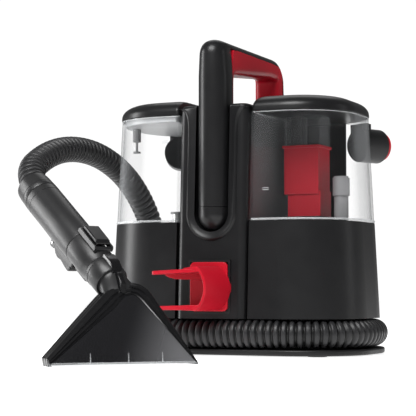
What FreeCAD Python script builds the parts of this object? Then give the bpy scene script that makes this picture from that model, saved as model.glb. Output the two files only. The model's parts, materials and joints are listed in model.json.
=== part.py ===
"""Portable spot carpet cleaner: a two-tank machine with a wand and a fan nozzle on a suction hose.

Millimetres, +Z up, origin on the floor under the middle of the base.  +X is the dirty-water tank's
side and -Y is the front.
"""
import FreeCAD, Part
import math
import os
import re
import Sketcher
from FreeCAD import Placement, Rotation, Vector

doc = FreeCAD.newDocument("carpet_cleaner")

# ---------------------------------------------------------------- driving dimensions
SIZES = {
    # machine body: a rounded rectangle that narrows upwards by the draft angle
    "body_half_width": 156.5, "body_half_depth": 92, "body_corner": 75, "draft": 2.8,
    "housing_floor": 43, "shoulder": 155, "tank_top": 282, "lid_top": 304, "shell_wall": 3,
    # base
    "foot_drop": 1.5, "foot_radius": 11, "foot_height": 3, "plate_half_width": 167,
    "plate_half_depth": 101, "plate_corner": 82, "plate_thickness": 7,
    "drum_half_width": 135, "drum_half_depth": 67, "drum_corner": 60,
    # column between the tanks
    "column_half": 43.5, "column_front_low": 101.5, "column_front_high": 90, "column_rear": 95,
    "column_top": 292, "column_edge": 9, "groove_half": 21.5, "groove_bottom": 143,
    "cover_thickness": 3, "side_gap": 2.5, "wing_half": 98, "wing_top": 289, "wing_thickness": 2.4,
    # carrying handle
    "bar_radius": 18.3, "bar_front": 105.3, "bar_back": 72, "bar_seam": 172, "handle_top": 365,
    "handle_rear": 94, "handle_band": 10, "handle_corner": 24, "grip_half": 16.5,
    "opening_front": 68, "opening_rear": 70, "opening_top_front": 327, "opening_top_rear": 342,
    # power button under the bar
    "button_height": 27, "button_travel": 2.5, "button_gap": 0.5,
    # tool hook
    "hook_half": 24, "hook_low": 51, "hook_high": 108, "hook_reach": 47, "hook_arm": 7, "hook_left": 62,
    # tanks
    "tank_wall": 2.6, "tank_floor": 3, "lid_edge": 12, "plug_depth": 9,
    "breather_place": 133, "breather_front": 28, "breather_radius": 5, "breather_drop": 23,
    "breather_stem": 12, "fit_gap": 0.5,
    "tank_lift_gap": 0.4,
    # latch housings at the rear outer corners of the tanks
    "latch_offset": 122, "latch_radius": 21, "latch_height": 254, "latch_front": 74, "latch_length": 32,
    "latch_turn": 25, "release_depth": 10, "release_travel": 4, "release_proud": 7,
    # float cage, duct and standpipe in the dirty tank
    "cage_place": 83, "cage_half_width": 22.5, "cage_half_depth": 18, "cage_low": 163, "cage_high": 247,
    "cage_wall": 2, "float_radius": 13, "float_height": 30, "duct_half": 22,
    "standpipe_place": 125, "standpipe_radius": 8.5, "standpipe_top": 210,
    # rear cover: exhaust grille, cord inlet and screws
    "grille_half": 28, "grille_low": 190, "grille_high": 250, "grille_rim": 3, "slat_pitch": 7, "slat_height": 3,
    "inlet_height": 70, "inlet_radius": 12, "inlet_tip": 6.5, "inlet_length": 14, "lead_radius": 4,
    "screw_radius": 3.5, "screw_low": 60, "screw_middle": 170, "screw_high": 275, "screw_inset": 7,
    # spring valve between the clean tank and the pump
    "valve_place": 100, "valve_back": 20,
    # inner machinery
    "motor_radius": 34, "motor_low": 186, "motor_high": 280, "motor_place": 25, "rotor_radius": 31,
    "rotor_height": 14, "pump_place": 52.5,
    # hose, wand and nozzle
    "hose_radius": 16, "cuff_length": 26, "cuff_radius": 20.5, "wand_length": 167,
    "wand_radius": 20, "wand_bore": 16.6, "spigot_radius": 16.5, "spigot_length": 20,
    "nozzle_width": 159, "nozzle_depth": 24, "nozzle_wall": 2.6, "nozzle_rise": 84, "nozzle_neck": 24,
    "nozzle_skew": 15,
    "trigger_place": 58, "trigger_length": 44, "trigger_pin": 1.5, "catch_place": 102, "catch_length": 33,
    "catch_travel": 3, "motor_shelf": 157,
}
sheet = doc.addObject("Spreadsheet::Sheet", "dims")
for row, (alias, number) in enumerate(SIZES.items(), start=1):
    sheet.set(f"A{row}", alias)
    sheet.set(f"B{row}", str(number))
    sheet.setAlias(f"B{row}", alias)
doc.recompute()

SUBPARTS = {}


# ---------------------------------------------------------------- helpers
def formula(text):
    """The expression for a size, with each alias pointed at the sheet."""
    return re.sub(r"[a-z_]+", lambda word: "dims." + word[0] if word[0] in SIZES else word[0], str(text))


def number(text):
    """The present value of a size or a formula of sizes."""
    found = sheet.evalExpression(formula(text))
    return float(getattr(found, "Value", found))


def keep(label, item):
    """Register a finished object as the sub-part with this name."""
    item.Label = label
    SUBPARTS[label] = item
    return item


def place(item, x, y, z):
    for axis, text in zip("xyz", (x, y, z)):
        item.setExpression(f"Placement.Base.{axis}", formula(text))
    return item


def box(x, y, z):
    """A block between two values on each axis."""
    block = doc.addObject("Part::Box", "block")
    for name, (low, high) in zip(("Length", "Width", "Height"), (x, y, z)):
        block.setExpression(name, formula(f"({high}) - ({low})"))
    return place(block, x[0], y[0], z[0])


TURNS = {"X": Rotation(Vector(0, 1, 0), 90), "Y": Rotation(Vector(1, 0, 0), -90), "Z": Rotation()}


def rod(base, radius, length, axis="Z"):
    """A cylinder from its base centre along an axis."""
    item = doc.addObject("Part::Cylinder", "rod")
    item.setExpression("Radius", formula(radius))
    item.setExpression("Height", formula(length))
    item.Placement = Placement(Vector(), TURNS[axis])
    return place(item, *base)


def cone(base, low_radius, high_radius, length, axis="Z"):
    item = doc.addObject("Part::Cone", "taper")
    item.setExpression("Radius1", formula(low_radius))
    item.setExpression("Radius2", formula(high_radius))
    item.setExpression("Height", formula(length))
    item.Placement = Placement(Vector(), TURNS[axis])
    return place(item, *base)


def ball(centre, radius):
    item = doc.addObject("Part::Sphere", "ball")
    item.setExpression("Radius", formula(radius))
    return place(item, *centre)


def cut(base, *tools):
    for tool in tools:
        result = doc.addObject("Part::Cut", "cut")
        result.Base, result.Tool = base, tool
        base = result
    return base


def fuse(*items):
    result = doc.addObject("Part::MultiFuse", "fuse")
    result.Shapes = list(items)
    return result


def common(first, second):
    result = doc.addObject("Part::Common", "common")
    result.Base, result.Tool = first, second
    return result


def group(*items):
    """Separate solids of one sub-part."""
    result = doc.addObject("Part::Compound", "group")
    result.Links = list(items)
    return result


def keep_in(frame, label, item):
    return keep(label, framed(item, frame))


def pipe(base, outer, inner, length, axis="Z"):
    return cut(rod(base, outer, length, axis), rod(base, inner, length, axis))


def framed(item, frame):
    """A locally built piece, set in its place by a frame."""
    holder = group(item)
    holder.Placement = frame
    return holder


def new_body():
    return doc.addObject("PartDesign::Body", "body")


def new_sketch(body, role, offset="0"):
    """A sketch on one of the body's origin planes, moved along the plane's normal."""
    sketch = body.newObject("Sketcher::SketchObject", "sketch")
    sketch.AttachmentSupport = (next(o for o in body.Origin.OriginFeatures if o.Role == role), "")
    sketch.MapMode = "FlatFace"
    sketch.setExpression("AttachmentOffset.Base.z", formula(offset))
    return sketch


def drive(sketch, kind, *where, size):
    index = sketch.addConstraint(Sketcher.Constraint(kind, *where, number(size)))
    sketch.setExpression(f"Constraints[{index}]", formula(size))


def outline(sketch, points):
    """A closed polygon whose corners are driven by formulas of sizes."""
    corners = [Vector(number(x), number(y), 0) for x, y in points]
    count = len(corners)
    first = sketch.GeometryCount
    for i in range(count):
        sketch.addGeometry(Part.LineSegment(corners[i], corners[(i + 1) % count]), False)
    for i in range(count):
        sketch.addConstraint(Sketcher.Constraint("Coincident", first + i, 2, first + (i + 1) % count, 1))
        drive(sketch, "DistanceX", -1, 1, first + i, 1, size=points[i][0])
        drive(sketch, "DistanceY", -1, 1, first + i, 1, size=points[i][1])


def rounded(sketch, left, right, front, rear, radius):
    """A closed rectangle with round corners."""
    a, b, c, d, r = (number(text) for text in (left, right, front, rear, radius))
    first = sketch.GeometryCount
    for start, end in (((a + r, c), (b - r, c)), ((b, c + r), (b, d - r)),
                       ((b - r, d), (a + r, d)), ((a, d - r), (a, c + r))):
        sketch.addGeometry(Part.LineSegment(Vector(*start, 0), Vector(*end, 0)), False)
    for turn, (x, y) in enumerate(((b - r, c + r), (b - r, d - r), (a + r, d - r), (a + r, c + r)), start=-1):
        circle = Part.Circle(Vector(x, y, 0), Vector(0, 0, 1), r)
        sketch.addGeometry(Part.ArcOfCircle(circle, turn * math.pi / 2, (turn + 1) * math.pi / 2), False)
    for i in range(4):
        sketch.addConstraint(Sketcher.Constraint("Tangent", first + i, 2, first + 4 + i, 1))
        sketch.addConstraint(Sketcher.Constraint("Tangent", first + 4 + i, 2, first + (i + 1) % 4, 1))
        sketch.addConstraint(Sketcher.Constraint("Vertical" if i % 2 else "Horizontal", first + i))
    for i in range(1, 4):
        sketch.addConstraint(Sketcher.Constraint("Equal", first + 4, first + 4 + i))
    drive(sketch, "Radius", first + 4, size=radius)
    drive(sketch, "DistanceX", -1, 1, first + 3, 1, size=left)
    drive(sketch, "DistanceX", -1, 1, first + 1, 1, size=right)
    drive(sketch, "DistanceY", -1, 1, first, 1, size=front)
    drive(sketch, "DistanceY", -1, 1, first + 2, 1, size=rear)


def pad(body, sketch, length, both_ways=False, narrowing="0"):
    feature = body.newObject("PartDesign::Pad", "pad")
    feature.Profile = sketch
    feature.Midplane = both_ways
    feature.setExpression("Length", formula(length))
    feature.setExpression("TaperAngle", formula(f"-({narrowing})"))
    return feature


def pocket(body, sketch, length, towards=1, both_ways=False):
    """Cut into the solid, towards +1 or -1 along the sketch's normal, and check that it did cut."""
    doc.recompute()
    before = body.Shape.Volume
    feature = body.newObject("PartDesign::Pocket", "pocket")
    feature.Profile = sketch
    feature.Midplane = both_ways
    feature.Reversed = towards > 0
    feature.setExpression("Length", formula(length))
    doc.recompute()
    assert body.Shape.Volume < before - 1, "a pocket cut nothing"
    return feature


def soften(body, feature, radius, pick):
    """Fillet the feature's edges that the test picks."""
    doc.recompute()
    names = [f"Edge{i}" for i, edge in enumerate(feature.Shape.Edges, start=1) if pick(edge)]
    fillet = body.newObject("PartDesign::Fillet", "fillet")
    fillet.Base = (feature, names)
    fillet.setExpression("Radius", formula(radius))
    return fillet


def upright(edge):
    a, b = (edge.valueAt(p) for p in edge.ParameterRange)
    return abs(a.z - b.z) > 0.9 * a.distanceToPoint(b) > 5


def at_height(level):
    return lambda edge: edge.BoundBox.ZMin > number(level) - 0.1 and edge.BoundBox.ZMax < number(level) + 0.1


def spread(height):
    """How much wider the drafted body is at a height than at the shoulder."""
    return f"(shoulder - ({height})) * tan(draft * 1deg)"


def body_slab(inset, low, high):
    """The machine's drafted cross-section between two heights, set in by a wall."""
    body = new_body()
    sketch = new_sketch(body, "XY_Plane", low)
    half_width = f"body_half_width - ({inset}) + {spread(low)}"
    half_depth = f"body_half_depth - ({inset}) + {spread(low)}"
    rounded(sketch, f"-({half_width})", half_width, f"-({half_depth})", half_depth,
            f"body_corner - ({inset}) + {spread(low)}")
    pad(body, sketch, f"({high}) - ({low})", narrowing="draft")
    return body


def side_block(side, inner, low, high):
    """A block that keeps one side of the machine, outside a distance from the middle."""
    span = (inner, "400") if side > 0 else ("-400", f"-({inner})")
    return box(span, ("-400", "400"), (low, high))


FAR = "400"

# ---------------------------------------------------------------- base
plate_top = "foot_drop + plate_thickness"


def base_plate():
    body = new_body()
    sketch = new_sketch(body, "XY_Plane", "foot_drop")
    rounded(sketch, "-plate_half_width", "plate_half_width", "-plate_half_depth", "plate_half_depth",
            "plate_corner")
    plate = pad(body, sketch, "plate_thickness")
    soften(body, plate, "plate_thickness / 3", lambda edge: True)
    wells = [rod((x, y, "0"), "foot_radius", "foot_height") for x, y in foot_places()]
    keep("base_plate", cut(body, *wells))


def foot_places():
    places = [("0", "0")]
    for x in ("-plate_half_width * 0.7", "plate_half_width * 0.7"):
        for y in ("-plate_half_depth * 0.6", "plate_half_depth * 0.6"):
            places.append((x, y))
    return places


def rubber_feet():
    keep("rubber_feet", group(*[rod((x, y, "0"), "foot_radius", "foot_height") for x, y in foot_places()]))


def hose_core():
    """The drum that the stored hose is wound round, between the plate and the housings."""
    body = new_body()
    sketch = new_sketch(body, "XY_Plane", plate_top)
    rounded(sketch, "-drum_half_width", "drum_half_width", "-drum_half_depth", "drum_half_depth",
            "drum_corner")
    pad(body, sketch, f"housing_floor - ({plate_top})")
    inside = new_sketch(body, "XY_Plane", plate_top)
    rounded(inside, "shell_wall - drum_half_width", "drum_half_width - shell_wall",
            "shell_wall - drum_half_depth", "drum_half_depth - shell_wall", "drum_corner - shell_wall")
    pocket(body, inside, FAR)
    keep("hose_core", body)


# ---------------------------------------------------------------- housings and column
housing_inner = "column_half + side_gap"


def lower_housing(label, side):
    """One drafted half of the lower body: floor, outer wall and the deck that its tank stands on."""
    outer = common(body_slab("0", "housing_floor", "shoulder"),
                   side_block(side, housing_inner, "0", FAR))
    hollow = common(body_slab("shell_wall", "housing_floor + shell_wall", "shoulder - shell_wall"),
                    side_block(side, f"{housing_inner} + shell_wall", "0", FAR))
    throat = rod((f"{side} * cage_place", "0", "housing_floor - 1"), "duct_half", "shell_wall + 2")
    port = rod((f"{side} * valve_place", "valve_back", "shoulder - shell_wall - 1"), "standpipe_radius",
               "shell_wall + 2")
    keep(label, cut(outer, hollow, throat, port))


def column_section(inset_side, inset_front, low, high):
    """The column's side profile, pushed out to both sides of the middle."""
    body = new_body()
    sketch = new_sketch(body, "YZ_Plane")
    slope = "(column_front_low - column_front_high) / (column_top - housing_floor)"
    front_low = f"column_front_low - ({inset_front}) - (({low}) - housing_floor) * {slope}"
    front_high = f"column_front_low - ({inset_front}) - (({high}) - housing_floor) * {slope}"
    rear = "column_rear - cover_thickness"
    outline(sketch, [(f"-({front_low})", low), (rear, low), (rear, high), (f"-({front_high})", high)])
    feature = pad(body, sketch, f"2 * (column_half - ({inset_side}))", both_ways=True)
    return body, feature


def column_housing():
    body, feature = column_section("0", "0", "housing_floor", "column_top")
    front = soften(body, feature, "column_edge",
                   lambda edge: upright(edge) and edge.CenterOfMass.y < 0)
    soften(body, front, "column_edge / 2", at_height("column_top"))
    # the groove is drawn looking from the front: a slot with a round bottom
    middle = "groove_bottom + groove_half"
    groove = fuse(box(("-groove_half", "groove_half"), ("-200", "-bar_back"), (middle, FAR)),
                  rod(("0", "-200", middle), "groove_half", "200 - bar_back", "Y"))
    inside, _ = column_section("shell_wall", "shell_wall", "housing_floor + shell_wall",
                               "column_top - shell_wall")
    lining = fuse(box(("-groove_half - shell_wall", "groove_half + shell_wall"),
                      ("-200", "shell_wall - bar_back"), (middle, FAR)),
                  rod(("0", "-200", middle), "groove_half + shell_wall", "200 + shell_wall - bar_back", "Y"))
    hollow = cut(inside, lining)
    back_way = box(("shell_wall - column_half", "column_half - shell_wall"), ("column_rear - 12", FAR),
                   ("housing_floor + shell_wall", "column_top - shell_wall"))
    duct_way = rod(("-200", "motor_place", "motor_low - 30"), "duct_half / 2", "400", "X")
    button_way = box(("-9", "9"), ("-bar_back - 1", "shell_wall - bar_back + 1"),
                     ("groove_bottom + 8", "groove_bottom + 20"))
    shelf = cut(box(("-column_half + 1", "column_half - 1"), ("motor_place - 45", "column_rear - 12"),
                    ("motor_shelf", "motor_shelf + shell_wall")),
                rod(("0", "motor_place", "motor_shelf - 1"), "20", "10"))
    keep("column_housing", fuse(cut(body, groove, hollow, back_way, duct_way, button_way), shelf))


def column_rear_cover():
    """The cover that closes the back of the column, with wings that shield the backs of the tanks."""
    plate = box(("-column_half", "column_half"), ("column_rear - cover_thickness", "column_rear"),
                ("housing_floor", "column_top"))
    wings = box(("-wing_half", "wing_half"), ("column_rear - wing_thickness", "column_rear"),
                ("shoulder + 1", "wing_top"))
    grille_window = box(("-grille_half", "grille_half"), ("column_rear - 10", "column_rear + 10"),
                        ("grille_low", "grille_high"))
    inlet_hole = rod(("0", "column_rear - 10", "inlet_height"), "inlet_radius - 3", "20", "Y")
    keep("column_rear_cover", cut(fuse(plate, wings), grille_window, inlet_hole))


def exhaust_grille():
    """Slats across the window in the rear cover."""
    inner = "(grille_half - grille_rim)"
    frame = cut(box(("-grille_half", "grille_half"), ("column_rear - cover_thickness", "column_rear"),
                    ("grille_low", "grille_high")),
                box((f"-{inner}", inner), ("column_rear - 10", "column_rear + 10"),
                    ("grille_low + grille_rim", "grille_high - grille_rim")))
    count = int((number("grille_high") - number("grille_low")) / number("slat_pitch"))
    slats = []
    for index in range(count):
        level = f"grille_low + 6 + {index} * slat_pitch"
        slats.append(box((f"-{inner} - 0.5", f"{inner} + 0.5"),
                         ("column_rear - cover_thickness", "column_rear - 0.6"), (level, f"{level} + slat_height")))
    keep("exhaust_grille", fuse(frame, *slats))


def cord_inlet():
    """The gland that the mains lead comes in through."""
    flange = rod(("0", "column_rear", "inlet_height"), "inlet_radius", "3", "Y")
    neck = rod(("0", "column_rear - cover_thickness", "inlet_height"), "inlet_radius - 3.2", "cover_thickness",
               "Y")
    taper = cone(("0", "column_rear + 3", "inlet_height"), "inlet_radius - 3", "inlet_tip", "inlet_length", "Y")
    bore = rod(("0", "column_rear - 12", "inlet_height"), "lead_radius", "inlet_length + 26", "Y")
    keep("cord_inlet", cut(fuse(flange, neck, taper), bore))


# ---------------------------------------------------------------- handle and power button
def handle_shell():
    """The black outer loop: a round bar down the front and a band over the top and the back."""
    body = new_body()
    sketch = new_sketch(body, "YZ_Plane")
    outline(sketch, [("-bar_front", "bar_seam"), ("-bar_front", "handle_top"), ("handle_rear", "handle_top"),
                     ("handle_rear", "column_top"), ("handle_rear - handle_band", "column_top"),
                     ("handle_rear - handle_band", "handle_top - handle_band"),
                     ("-bar_back", "handle_top - handle_band"), ("-bar_back", "bar_seam")])
    loop = pad(body, sketch, "2 * bar_radius", both_ways=True)

    def top_corner(edge):
        middle = edge.CenterOfMass
        across = edge.BoundBox.XLength > 2 * number("bar_radius") - 1
        return across and abs(middle.z - number("handle_top")) < 0.1

    bent = soften(body, loop, "handle_corner", top_corner)

    def rim(edge):
        box_of = edge.BoundBox
        outer = (box_of.YMin < -number("bar_front") + 0.1 or box_of.ZMax > number("handle_top") - 0.1
                 or box_of.YMax > number("handle_rear") - 0.1)
        return box_of.XLength < 0.1 and outer and edge.Length > 3

    soften(body, bent, "handle_band * 0.9", rim)
    keep("handle_shell", body)


def handle_grip():
    """The red inner loop that the fingers close on."""
    body = new_body()
    sketch = new_sketch(body, "YZ_Plane")
    skin = "handle_top - handle_band"
    outline(sketch, [("-bar_back", "column_top"), ("-bar_back", skin), ("handle_rear - handle_band", skin),
                     ("handle_rear - handle_band", "column_top"), ("opening_rear", "column_top"),
                     ("opening_rear", "opening_top_rear"), ("-opening_front", "opening_top_front"),
                     ("-opening_front", "column_top")])
    loop = pad(body, sketch, "2 * grip_half", both_ways=True)
    soften(body, loop, "3", lambda edge: edge.BoundBox.XLength < 0.1 and edge.BoundBox.ZMax < number(skin) - 5
           and edge.BoundBox.YLength > 50)
    keep("handle_grip", body)


def power_button():
    """The glossy rounded key that carries on the line of the bar below its seam."""
    height = "bar_seam - button_gap - button_height + bar_radius"
    front = "-(bar_front - bar_radius)"
    key = fuse(rod(("0", front, height), "bar_radius", "button_height - bar_radius"),
               ball(("0", front, height), "bar_radius"))
    room = box(("-bar_radius", "bar_radius"), ("-200", "-(bar_back + button_travel + 0.5)"),
               ("0", "bar_seam - button_gap"))
    stem = box(("-8", "8"), ("-(bar_back + button_travel + 1)", "-bar_back + 1"),
               ("groove_bottom + 9", "groove_bottom + 19"))
    keep("power_button", fuse(common(key, room), stem))


# ---------------------------------------------------------------- tool hook
hook_face = "column_front_low - 1.5"


def tool_hook():
    """A red bracket: a back plate and two arms joined at the right by a hollow curved web."""
    back = box(("-hook_half", "hook_half"), (f"-({hook_face}) - 4", f"-({hook_face}) + 0.8"),
               ("hook_low", "hook_high"))
    arms = []
    for low in ("hook_low + 3", "hook_high - 6 - hook_arm"):
        body = new_body()
        sketch = new_sketch(body, "XY_Plane", low)
        outline(sketch, [("-hook_left", f"-({hook_face}) - hook_reach"), ("-hook_half + 6", f"-({hook_face}) - 3"),
                         ("hook_half - 2", f"-({hook_face}) - 3"), ("hook_half + 1", f"-({hook_face}) - 22"),
                         ("4", f"-({hook_face}) - 34"),
                         ("-hook_left + 9", f"-({hook_face}) - hook_reach - 8")])
        plate = pad(body, sketch, "hook_arm")
        soften(body, plate, "4", upright_of(plate))
        arms.append(body)
    web = new_body()
    sketch = new_sketch(web, "XY_Plane", "hook_low + 3")
    outline(sketch, [("hook_half - 18", f"-({hook_face}) - 3"), ("hook_half - 2", f"-({hook_face}) - 3"),
                     ("hook_half + 1", f"-({hook_face}) - 22"), ("hook_half - 5", f"-({hook_face}) - 25"),
                     ("hook_half - 11", f"-({hook_face}) - 13")])
    pad(web, sketch, "hook_high - hook_low - 9")
    column, _ = column_section("0", "0", "housing_floor", "column_top")
    keep("tool_hook", cut(fuse(back, *arms, web), column))


def upright_of(feature):
    return lambda edge: edge.BoundBox.ZLength > number("hook_arm") - 0.5


def hook_bezel():
    """The thin frame that the hook's back plate sits in."""
    ring = cut(box(("-hook_half - 2.5", "hook_half + 2.5"), (f"-({hook_face}) - 1.5", f"-({hook_face}) + 0.8"),
                   ("hook_low - 2.5", "hook_high + 2.5")),
               box(("-hook_half", "hook_half"), ("-200", "0"), ("hook_low", "hook_high")))
    body, _ = column_section("0", "0", "housing_floor", "column_top")
    keep("hook_bezel", cut(ring, body))


# ---------------------------------------------------------------- tanks
tank_inner = f"({housing_inner}) + 0.5"
tank_base = "shoulder + tank_lift_gap"


def tank_shell(label, side):
    """A clear tank: the drafted section outside the column, open at the top."""
    outer = common(body_slab("0.4", tank_base, "tank_top"), side_block(side, tank_inner, "0", FAR))
    hollow = common(body_slab("0.4 + tank_wall", f"{tank_base} + tank_floor", "tank_top + 5"),
                    side_block(side, f"{tank_inner} + tank_wall", "0", FAR))
    return outer, hollow


def clean_tank():
    outer, hollow = tank_shell("clean_tank", -1)
    outlet = rod(("-valve_place", "valve_back", "shoulder - 5"), "standpipe_radius + 0.6", "20")
    keep("clean_tank", cut(outer, hollow, outlet))


def dirty_tank():
    outer, hollow = tank_shell("dirty_tank", 1)
    inlet = rod(("standpipe_place", "0", "shoulder - 5"), "standpipe_radius - 2", "20")
    keep("dirty_tank", cut(outer, hollow, inlet))


def tank_lid(label, side):
    """A domed lid with a plug rim that drops into the tank's mouth."""
    body = body_slab("-0.3", "tank_top + 0.4", "lid_top")
    sketch = new_sketch(body, "XY_Plane", "tank_top")
    span = ("-400", tank_inner) if side > 0 else (f"-({tank_inner})", "400")
    outline(sketch, [(span[0], "-300"), (span[1], "-300"), (span[1], "300"), (span[0], "300")])
    half = pocket(body, sketch, FAR)
    soften(body, half, "lid_edge", at_height("lid_top"))
    plug_inset = "0.4 + tank_wall + fit_gap"
    hollow = common(body_slab(f"{plug_inset} + 1", "tank_top", "lid_top - lid_edge"),
                    side_block(side, f"{tank_inner} + tank_wall + fit_gap + 1", "0", FAR))
    plug = cut(common(body_slab(plug_inset, "tank_top - plug_depth", "tank_top + 4"),
                      side_block(side, f"{tank_inner} + tank_wall + fit_gap", "0", FAR)),
               common(body_slab(f"{plug_inset} + 2.4", "tank_top - plug_depth - 1", "tank_top + 5"),
                      side_block(side, f"{tank_inner} + tank_wall + fit_gap + 2.4", "0", FAR)))
    keep(label, fuse(cut(body, hollow), plug))


def tank_gasket(label, side):
    """The flat ring between the lid and the tank's edge, round the plug."""
    ring = cut(common(body_slab("0.6", "tank_top", "tank_top + 0.4"),
                      side_block(side, f"{tank_inner} + 0.2", "0", FAR)),
               common(body_slab("0.4 + tank_wall + fit_gap - 0.1", "tank_top - 1", "tank_top + 3"),
                      side_block(side, f"{tank_inner} + tank_wall + fit_gap - 0.1", "0", FAR)))
    keep(label, ring)


def latch_rod(side, start, radius, length):
    """A cylinder on the latch's axis, which turns outwards from the tank's back."""
    turn = "latch_turn * 1deg"
    item = rod((f"{side} * (latch_offset + ({start}) * sin({turn}))", f"latch_front + ({start}) * cos({turn})",
                "latch_height"), radius, length, "Y")
    outwards = Rotation(Vector(0, 0, 1), -side * number("latch_turn"))
    item.Placement = Placement(item.Placement.Base, outwards.multiply(TURNS["Y"]))
    return item


def latch_housing(label, side):
    """A round drum on the tank's rear outer corner, with a well for the release button."""
    drum = latch_rod(side, "-22", "latch_radius", "latch_length + 22")
    well = latch_rod(side, "latch_length - release_depth", "latch_radius - 3", "60")
    tank_skin = body_slab("0.4", tank_base, "tank_top")
    strap = box((f"{side} * latch_offset - 13", f"{side} * latch_offset + 13"),
                ("latch_front - 6", "latch_front + 8"), ("latch_height", "tank_top - 2"))
    keep(label, cut(fuse(drum, strap), well, tank_skin))


def release_button(label, side):
    """The red push-button in the back of the drum."""
    keep(label, latch_rod(side, "latch_length - release_depth + release_travel + 0.5", "latch_radius - 3.5",
                          "release_depth - release_travel - 0.5 + release_proud"))


def pickup_tube():
    """The breather tube and its foot under the clean tank's lid."""
    x, y = "-breather_place", "-breather_front"
    tube = rod((x, y, "tank_top - breather_drop"), "breather_radius",
               "breather_drop + lid_top - lid_edge - tank_top")
    stem = rod((x, y, "tank_top - breather_drop - breather_stem"), "1.5", "breather_stem + 2")
    foot = rod((x, y, "tank_top - breather_drop - breather_stem - 2"), "breather_radius - 0.5", "2.2")
    keep("clean_pickup_tube", fuse(tube, stem, foot))


def clean_valve():
    """The spring valve in the floor of the clean tank, its seat in the deck and its spring."""
    x, y = "-valve_place", "valve_back"
    seat = pipe((x, y, "shoulder - 14"), "standpipe_radius", "4", "14")
    keep("clean_valve_seat", cut(seat, rod((x, y, "shoulder - 4"), "5.5", "6")))
    collar = pipe((x, y, f"{tank_base}"), "standpipe_radius + 0.6", "3.2", "4")
    keep("clean_valve_collar", fuse(collar, pipe((x, y, f"{tank_base} + tank_floor"), "13", "3.2", "2")))
    plunger = fuse(rod((x, y, "shoulder - 1"), "2.6", "20"), rod((x, y, f"{tank_base} + 16"), "9", "2.5"))
    keep("clean_tank_valve", plunger)
    keep("clean_valve_spring", pipe((x, y, f"{tank_base} + tank_floor + 2"), "6", "4.6", "11"))


def float_cage():
    """The red cage that guides the float, with a flanged upper half."""
    lower = box(("cage_place - cage_half_width + 4", "cage_place + cage_half_width"),
                ("-cage_half_depth", "cage_half_depth"), ("cage_low", "cage_low + 30"))
    upper = box(("cage_place - cage_half_width", "cage_place + cage_half_width - 2"),
                ("-cage_half_depth - 1.5", "cage_half_depth + 1.5"), ("cage_low + 26", "cage_high"))
    rim = box(("cage_place - cage_half_width - 2", "cage_place + cage_half_width"),
              ("-cage_half_depth - 3", "cage_half_depth + 3"), ("cage_high - 3", "cage_high"))
    hollow = box(("cage_place - cage_half_width + 4 + cage_wall", "cage_place + cage_half_width - 2 - cage_wall"),
                 ("-cage_half_depth + cage_wall", "cage_half_depth - cage_wall"),
                 ("cage_low + cage_wall", "cage_high + 5"))
    keep("float_cage", cut(fuse(lower, upper, rim), hollow))
    x = "cage_place + 1"
    keep("float", rod((x, "0", "cage_low + cage_wall + 1"), "float_radius", "float_height"))
    duct = cut(box(("cage_place - duct_half", "cage_place + duct_half"), ("-cage_half_depth", "cage_half_depth"),
                   ("cage_high", "lid_top - lid_edge - 2")),
               box(("cage_place - duct_half + 2", "cage_place + duct_half - 2"),
                   ("2 - cage_half_depth", "cage_half_depth - 2"), ("cage_high - 1", "lid_top")))
    keep("separator_duct", duct)


def standpipe():
    """The grey pipe that brings the dirty water up into its tank."""
    pipe_low = f"{tank_base} + tank_floor"
    body = fuse(rod(("standpipe_place", "0", pipe_low), "standpipe_radius", "standpipe_top - shoulder - 3.4"),
                rod(("standpipe_place", "0", "standpipe_top - 23"), "standpipe_radius + 1.5", "21"))
    keep("standpipe", cut(body, rod(("standpipe_place", "0", "shoulder"), "standpipe_radius - 2", "70")))
    keep("dirty_port_seal", pipe(("standpipe_place", "0", "shoulder"), "standpipe_radius + 2",
                                 "standpipe_radius - 2", "tank_lift_gap"))


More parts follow.
